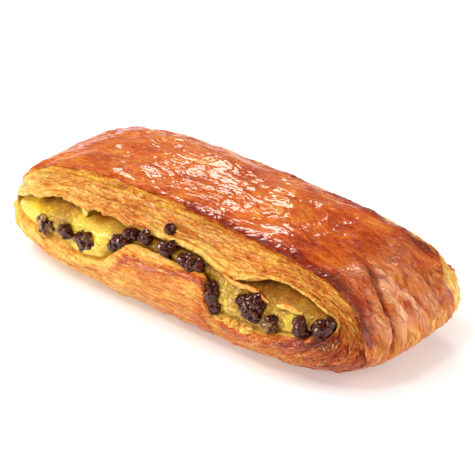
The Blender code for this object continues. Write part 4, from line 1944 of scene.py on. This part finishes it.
    def pieces(self) -> list[bpy.types.Object]:
        """Makes the filling with both caps and the tube between them.

        Returns:
            The one piece.
        """
        grids, verts, masks, used = {}, [], {}, 0
        for side in Side:
            points, values = self.cap(side)
            count = points.shape[0] * points.shape[1]
            grids[side] = used + np.arange(count).reshape(points.shape[:2])
            used += count
            verts.append(points.reshape(-1, 3))
            for key in values:
                masks.setdefault(key, []).append(values[key].reshape(-1))
        tube = np.stack([self.rim(grids[Side.BACK]), self.rim(grids[Side.FRONT])], 1)
        faces = [
            grid_faces(grids[Side.FRONT]),
            grid_faces(grids[Side.BACK])[:, ::-1],
            grid_faces(tube, closed_long=True),
        ]
        joined = {key: np.concatenate(values) for key, values in masks.items()}
        name = "custard_filling"
        return [add_piece(name, np.concatenate(verts), np.concatenate(faces), joined)]


@dataclass(frozen=True)
class FlakeSheet(SubAssembly):
    """A thin curled sheet of dough that stands free at the mouth."""

    name: str
    tall: float
    lean: float
    bake: float
    line: tuple[tuple[float, float, float], ...]
    curl: float = 0.5
    thick: float = 0.25 * MM
    ruffle: float = 0.25 * MM
    torn: float = 0.12
    long_steps: int = 60
    tall_steps: int = 14

    def curve(self) -> Array:
        """The sheet's upper edge as a smooth line of points.

        Returns:
            Points along the edge, on the cut face but for their depth.
        """
        knots = np.array(self.line) * MM
        t = np.linspace(0, len(knots) - 1, self.long_steps)
        k = np.clip(t.astype(int), 0, len(knots) - 2)
        f = (t - k)[:, None]
        before, after = knots[np.maximum(k - 1, 0)], knots[np.minimum(k + 2, len(knots) - 1)]
        a, b = knots[k], knots[k + 1]
        bend = (b - before) * 0.5, (after - a) * 0.5
        h = 2 * f**3 - 3 * f**2 + 1, f**3 - 2 * f**2 + f, 3 * f**2 - 2 * f**3, f**3 - f**2
        x, z, depth = (h[0] * a + h[1] * bend[0] + h[2] * b + h[3] * bend[1]).T
        return np.stack([x, depth - FORM.half_width(x, z), z], -1)

    def pieces(self) -> list[bpy.types.Object]:
        """Makes the sheet.

        Returns:
            The one piece.
        """
        top = self.curve()
        share = np.linspace(0, 1, self.long_steps)
        tall = self.tall * np.clip(np.sin(share * math.pi), 0, 1) ** 0.5
        tall = tall + self.torn * self.tall * relief(81, 2, (top[:, 0], 2 * MM))
        u = np.linspace(0, 1, self.tall_steps)
        down = tall[:, None] * u[None, :]
        out = self.lean * down + self.curl * self.tall * (u[None, :] * (1 - u[None, :]))
        out = out + self.ruffle * relief(82, 2, (top[:, 0:1], 3 * MM), (down, 2 * MM))
        outer = np.stack([top[:, 0:1] + 0 * down, top[:, 1:2] - out, top[:, 2:3] - down], -1)
        inner = outer + np.array([0, self.thick, 0])
        sheet = np.concatenate([outer, inner[:, ::-1]], 1)
        numbers = np.arange(sheet.shape[0] * sheet.shape[1]).reshape(sheet.shape[:2])
        faces = [grid_faces(numbers, closed_wide=True)]
        for ring in (numbers[0], numbers[-1]):
            half = len(ring) // 2
            faces.append(grid_faces(np.stack([ring[:half], ring[half:][::-1]], 1)))
        edge = np.concatenate([u, u[::-1]])[None, :] * np.ones((self.long_steps, 1))
        flat = sheet.reshape(-1, 3)
        masks = {
            "bake": (self.bake + 0.22 * np.exp(-edge / 0.12) - 0.10 * edge).reshape(-1),
            "gloss": np.full(len(flat), 0.5),
            "moist": np.full(len(flat), 0.0),
            "crack": np.zeros(len(flat)),
            "flow": np.stack([flat[:, 0], 0 * flat[:, 0], flat[:, 2]], -1),
        }
        return [add_piece(self.name, flat, np.concatenate(faces), masks)]


FLAKES = (
    FlakeSheet(
        "flake_left",
        2.2 * MM,
        0.1,
        0.22,
        ((-36.6, 26.6, 1.4), (-35.2, 26.4, 1.2), (-33.8, 26.4, 1.4)),
    ),
    FlakeSheet(
        "flake_strip",
        1.5 * MM,
        0.25,
        0.32,
        (
            (21.0, 26.6, 1.9),
            (23.5, 26.2, 1.2),
            (28.8, 25.9, 0.7),
            (32.7, 26.3, 0.5),
            (35.9, 26.1, 0.5),
            (38.7, 25.0, 0.8),
            (41.0, 23.9, 1.6),
        ),
    ),
    FlakeSheet(
        "flake_branch",
        1.1 * MM,
        0.2,
        0.26,
        ((26.5, 26.4, 0.8), (30.3, 28.0, -0.2), (33.8, 29.2, -0.5), (37.4, 29.3, 0.2)),
    ),
    FlakeSheet(
        "flake_right",
        1.8 * MM,
        0.35,
        0.24,
        ((43.2, 23.8, 1.8), (45.5, 25.0, 1.0), (47.7, 25.2, 0.9), (49.9, 24.8, 1.0), (52.2, 23.8, 1.8)),
    ),
)


@dataclass(frozen=True)
class ClusterPlan:
    """Where a cluster of chips lies and how it spreads."""

    node: str
    side: Side
    x: float
    z: float
    half_length: float
    half_height: float
    slant: float
    count: int
    smear: float = 0.0

    def places(self) -> list[tuple[float, float, float]]:
        """Where the chips lie: one in the middle, and the rest in sunflower order.

        Returns:
            Place along the bar, height, and how far out in the cluster, for each chip.
        """
        golden = math.pi * (3 - math.sqrt(5))
        lean = math.radians(self.slant)
        found = []
        for k in range(self.count):
            r = math.sqrt(k / max(self.count - 1, 1))
            a = self.half_length * r * math.cos(k * golden)
            b = self.half_height * r * math.sin(k * golden)
            dx = a * math.cos(lean) - b * math.sin(lean)
            dz = a * math.sin(lean) + b * math.cos(lean)
            found.append((self.x + dx, self.z + dz, r))
        return found


def front_plans() -> list[ClusterPlan]:
    """The clusters that the front mouth shows.

    Returns:
        The plans, left to right.
    """
    rows = (
        (-50.0, 16.4, 2.4, 1.5, -25, 5, 0.50),
        (-40.4, 18.4, 1.6, 1.0, 45, 3, 0.15),
        (-32.4, 18.2, 3.0, 1.7, 0, 6, 0.30),
        (-17.2, 23.4, 5.0, 1.0, 40, 6, 0.0),
        (-9.2, 26.4, 0.6, 0.5, 0, 3, 0.05),
        (-2.6, 30.2, 0.0, 0.0, 0, 1, 0.0),
        (-0.4, 25.8, 2.4, 0.8, 22, 4, 0.0),
        (10.6, 24.9, 4.4, 0.6, -4, 5, 0.1),
        (20.8, 19.6, 4.0, 0.7, 100, 5, 0.0),
        (35.4, 20.6, 4.0, 3.2, 0, 12, 0.08),
        (42.6, 18.0, 1.8, 0.9, 35, 4, 0.4),
        (53.0, 20.2, 2.4, 0.6, 110, 5, 0.05),
        (59.6, 21.2, 2.3, 2.1, 80, 7, 0.0),
    )
    plans = []
    for number, (x, z, long, high, *spread) in enumerate(rows, 1):
        place = (x * MM, z * MM, long * MM, high * MM)
        plans.append(ClusterPlan(f"chips_front_{number:02d}", Side.FRONT, *place, *spread))
    return plans


def back_plans(count: int = 8, span: float = 100 * MM) -> list[ClusterPlan]:
    """The clusters of the back mouth, spaced evenly with a seeded scatter.

    Args:
        count: how many there are.
        span: how far apart the first and the last lie.

    Returns:
        The plans, left to right.
    """
    draw = random.Random(5)
    plans = []
    for k in range(count):
        x = CHANNEL.shift - span / 2 + k * span / (count - 1) + draw.uniform(-2, 2) * MM
        chips = draw.choice((3, 4, 5, 6))
        spread = (1.3 + 0.42 * chips) * MM
        z = CHANNEL.level + CHANNEL.tilt * x + draw.uniform(-1.2, 1.6) * MM
        z += 2.4 * MM * float(FOLDS[Side.BACK].standing(np.array(x)))
        slant = draw.uniform(-40, 40)
        node = f"chips_back_{k + 1:02d}"
        plans.append(ClusterPlan(node, Side.BACK, x, z, spread, spread * 0.7, slant, chips, 0.1))
    return plans


@dataclass(frozen=True)
class SoftenedBall:
    """One softened drop or lump: a ball with a narrowed top and shallow dents."""

    centre: Vector
    size: float
    tilt: Euler
    seed: int
    finer: int
    top_narrowing: float = 0.22
    flatness: float = 0.86
    tip: float = 0.16
    dent: float = 0.12

    def build(self) -> tuple[Array, Array]:
        """Makes its points and triangles.

        Returns:
            The points, and three point numbers for each triangle.
        """
        ball = bmesh.new()
        bmesh.ops.create_icosphere(ball, subdivisions=self.finer, radius=1)
        points = np.array([v.co[:] for v in ball.verts])
        faces = np.array([[v.index for v in f.verts] for f in ball.faces])
        ball.free()
        high = np.clip(points[:, 2], 0, 1)
        points[:, :2] *= (1 - self.top_narrowing * high)[:, None]
        points[:, 2] = points[:, 2] * self.flatness + self.tip * high**4
        x, y, z = points.T
        dent = relief(self.seed % 997, 2, (x + self.seed, 1.0), (y, 1.0), (z, 1.0))
        points *= (1 + self.dent * dent)[:, None]
        turned = points @ np.array(self.tilt.to_matrix()).T
        return turned * self.size + np.array(self.centre), faces


def joined_balls(balls: list[tuple[Array, Array]]) -> tuple[Array, Array]:
    """Puts the points and triangles of several balls in one list each.

    Args:
        balls: the points and triangles of each.

    Returns:
        All points and all triangles.
    """
    starts = np.cumsum([0] + [len(points) for points, _ in balls])
    faces = [tris + start for (_, tris), start in zip(balls, starts, strict=False)]
    return np.concatenate([points for points, _ in balls]), np.concatenate(faces)


@dataclass(frozen=True)
class LipLumps(SubAssembly):
    """Soft blistered lumps of dough on the lower lip of the front mouth."""

    low: float = 27.0 * MM
    high: float = 36.5 * MM
    count: int = 11
    radius: float = 0.95 * MM
    sunk: float = 1.15 * MM
    bake: float = 0.20
    blister: float = 0.35
    blister_size: float = 1.1 * MM
    lip_stations: int = 600

    def lip_height(self, x: float) -> float:
        """How high the lower lip lies.

        Args:
            x: the place along the bar.

        Returns:
            The height.
        """
        turn = even_turns(self.lip_stations)
        mouth = CHANNEL.mouth(turn, FOLDS[Side.FRONT], True)[np.sin(turn) < 0]
        order = np.argsort(mouth[:, 0])
        return float(np.interp(x, mouth[order, 0], mouth[order, 1]))

    def pieces(self) -> list[bpy.types.Object]:
        """Makes the lumps.

        Returns:
            The one piece that they are.
        """
        draw = random.Random(12)
        balls = []
        for number in range(self.count):
            share = (number + draw.uniform(-0.4, 0.4)) / (self.count - 1)
            x = self.low + (self.high - self.low) * share
            z = self.lip_height(x) + draw.uniform(-1.0, 0.7) * MM
            centre = (x, self.sunk - FORM.depth_at(x, z), z)
            tilt = Euler([draw.uniform(0, math.tau) for _ in range(3)])
            size = self.radius * draw.uniform(0.9, 1.4)
            points, tris = SoftenedBall(Vector(centre), size, tilt, 40 + number, 4).build()
            bent = relief(90, 3, *((way, self.blister_size) for way in points.T))
            points = points + (points - np.array(centre)) * (self.blister * bent)[:, None]
            balls.append((points, tris))
        verts, faces = joined_balls(balls)
        masks = {
            "bake": np.full(len(verts), self.bake),
            "gloss": np.full(len(verts), 0.5),
            "flow": verts,
        }
        return [add_piece("lip_lumps", verts, faces, masks)]


@dataclass(frozen=True)
class ChipCluster(SubAssembly):
    """A cluster of softened chocolate drops stuck together."""

    slot = "dark_chocolate"
    plan: ClusterPlan
    radius: float = 2.35 * MM
    depth: float = 2.0 * MM
    dome: float = 1.0 * MM
    back_sink: float = 1.5 * MM
    core: float = 0.90
    bits: int = 4
    bit_reach: float = 0.68

    def drop(self, centre: Vector, size: float, tilt: Euler, seed: int) -> list[SoftenedBall]:
        """One drop with the small bits that stick to it.

        Args:
            centre: its place.
            size: its radius.
            tilt: how it lies.
            seed: picks its bits and dents.

        Returns:
            The drop and its bits.
        """
        balls = [SoftenedBall(centre, size * self.core, tilt, seed, 4)]
        draw = random.Random(seed)
        for k in range(self.bits if self.plan.count > 2 else 0):
            way = Vector([draw.uniform(-1, 1) for _ in range(3)]).normalized()
            lean = Euler([draw.uniform(0, math.tau) for _ in range(3)])
            spot = centre + way * size * self.bit_reach
            small = size * draw.uniform(0.30, 0.52)
            balls.append(SoftenedBall(spot, small, lean, seed + (k + 1) * 13, 3))
        return balls

    @property
    def node(self) -> str:
        """The node that the cluster stands for."""
        return self.plan.node

    def pieces(self) -> list[bpy.types.Object]:
        """Makes the cluster.

        Returns:
            The one piece.
        """
        plan = self.plan
        draw = random.Random(plan.node)
        balls = []
        for number, (x, z, r) in enumerate(plan.places()):
            depth = FORM.depth_at(x, z) - self.depth
            depth += self.dome * (1 - r * r) - self.back_sink * (plan.side is Side.BACK)
            size = self.radius * draw.uniform(0.88, 1.12)
            tilt = Euler([draw.uniform(0, math.tau) for _ in range(3)])
            centre = Vector((x, plan.side.value * depth, z))
            seed = sum(map(ord, plan.node)) * 31 + number * 7
            balls += self.drop(centre, size, tilt, seed)
        verts, faces = joined_balls([ball.build() for ball in balls])
        smear = np.full(len(verts), plan.smear)
        return [add_piece(f"{plan.node}_drops", verts, faces, {"smear": smear})]


@dataclass(frozen=True)
class SoftLight:
    """A soft square light that looks at the bar, with its angles in degrees."""

    name: str
    azimuth: float
    elevation: float
    distance: float
    size: float
    power: float
    tint: Colour = (1.0, 1.0, 1.0)
    mirrored: bool = True

    def hang(self) -> None:
        """Adds the light to the scene."""
        a, e = math.radians(self.azimuth), math.radians(self.elevation)
        way = Vector((math.sin(a) * math.cos(e), -math.cos(a) * math.cos(e), math.sin(e)))
        data = bpy.data.lights.new(self.name, "AREA")
        data.energy = self.power
        data.size = self.size
        data.color = self.tint
        held = bpy.data.objects.new(self.name, data)
        held.location = way * self.distance
        held.rotation_euler = held.location.to_track_quat("Z", "Y").to_euler()
        held.visible_glossy = self.mirrored
        bpy.context.scene.collection.objects.link(held)


@dataclass(frozen=True)
class Studio:
    """The pale floor, the soft lights and the camera at the photo's angle."""

    azimuth: float = math.radians(41.2)
    elevation: float = math.radians(29.7)
    distance: float = 0.8
    aim: tuple[float, float, float] = (-0.001, 0.0, 0.0)
    slide: float = 2.8 * MM
    lift: float = 15.0 * MM
    lens: float = 193.2
    sensor: float = 36
    nearest: float = 0.01
    floor_half: float = 3.0
    floor_drop: float = 0.05 * MM
    floor_colour: Colour = (0.85, 0.91, 0.98)
    floor_stretch: tuple[float, float, float] = (0.75, 1.1, 1.0)
    air: tuple[float, float, float, float] = (1.0, 0.93, 0.82, 1)
    air_strength: float = 0.17
    lights: tuple[SoftLight, ...] = (
        SoftLight("back_softbox", 224, 33, 0.9, 0.19, 2.8, (1.0, 0.93, 0.82)),
        SoftLight("glint_softbox", -36, 16, 0.9, 0.24, 3.2, (1.0, 0.95, 0.88)),
        SoftLight("right_softbox", 120, 22, 1.3, 1.2, 13.5, (1.0, 0.92, 0.85)),
        SoftLight("spark_softbox", 5, 58, 0.9, 0.18, 1.6, (1.0, 0.95, 0.88)),
        SoftLight("chip_softbox", -57, 45, 0.9, 0.12, 1.1, (1.0, 0.93, 0.85)),
        SoftLight("left_softbox", 290, 62, 0.9, 0.5, 2.7, mirrored=False),
        SoftLight("front_fill", 15, 50, 1.0, 0.6, 0.6, mirrored=False),
        SoftLight("top_fill", 41, 80, 1.0, 0.6, 1.2, mirrored=False),
    )

    def axes(self) -> tuple[Vector, Vector, Vector]:
        """The directions of the camera.

        Returns:
            Its right, up and backward directions.
        """
        a, e = self.azimuth, self.elevation
        right = Vector((math.cos(a), math.sin(a), 0))
        up = Vector((-math.sin(a) * math.sin(e), math.cos(a) * math.sin(e), math.cos(e)))
        back = Vector((math.sin(a) * math.cos(e), -math.cos(a) * math.cos(e), math.sin(e)))
        return right, up, back

    def camera(self) -> None:
        """Places the camera."""
        right, up, back = self.axes()
        eye = right * self.slide + up * self.lift + back * self.distance + Vector(self.aim)
        data = bpy.data.cameras.new("camera")
        data.sensor_width = self.sensor
        data.lens = self.lens
        data.clip_start = self.nearest
        held = bpy.data.objects.new("camera", data)
        rows = [(right[k], up[k], back[k], eye[k]) for k in range(3)]
        held.matrix_world = Matrix((*rows, (0, 0, 0, 1)))
        bpy.context.scene.collection.objects.link(held)
        bpy.context.scene.camera = held

    def floor(self) -> None:
        """Lays the white floor, which glows less near the bar: a painted shadow round it."""
        half, low = self.floor_half, -self.floor_drop
        spots = ((-half, -half, low), (half, -half, low), (half, half, low), (-half, half, low))
        piece = add_piece("floor", np.array(spots), np.array([[0, 1, 2, 3]]), {})
        s = Sketch("white_floor")
        away = s.node("ShaderNodeVectorMath", operation="LENGTH")
        s.join(s.scaled(s.place(), self.floor_stretch), away.inputs[0])
        # The bluish base offsets the warm tint of the lamps on the floor.
        s.set("Base Color", self.floor_colour)
        s.set("Roughness", 0.6)
        s.set("Specular IOR Level", 0.1)
        # The floor glows so that it stays white, and glows less near the bar: a painted shadow round
        # the bar.
        s.set("Emission Color", (1.0, 1.0, 1.0))
        s.set("Emission Strength", s.span(away.outputs["Value"], 0.045, 0.13, 0.24, 0.62))
        piece.data.materials.append(s.material)

    def build(self) -> None:
        """Sets the whole studio."""
        self.camera()
        self.floor()
        world = bpy.data.worlds.new("studio")
        world.use_nodes = True
        shade = world.node_tree.nodes["Background"]
        shade.inputs["Color"].default_value = self.air
        shade.inputs["Strength"].default_value = self.air_strength
        bpy.context.scene.world = world
        for light in self.lights:
            light.hang()
        bpy.context.scene.view_settings.view_transform = "Standard"


def main() -> None:
    logging.basicConfig(level=logging.INFO, format="%(message)s")
    dough_finish = BakedDough().make()
    made = DoughSculptor(DoughBand()).dress(dough_finish)
    for sheet in FLAKES:
        made += sheet.dress(dough_finish)
    made += CustardFilling().dress(BakedCustard().make())
    made += LipLumps().dress(dough_finish)
    chocolate = DarkChocolate().make()
    for plan in front_plans() + back_plans():
        made += ChipCluster(plan).dress(chocolate)
    for piece in made:
        log.info("%s: %d faces", piece.name, len(piece.data.polygons))
    Studio().build()


if __name__ == "__main__":
    main()
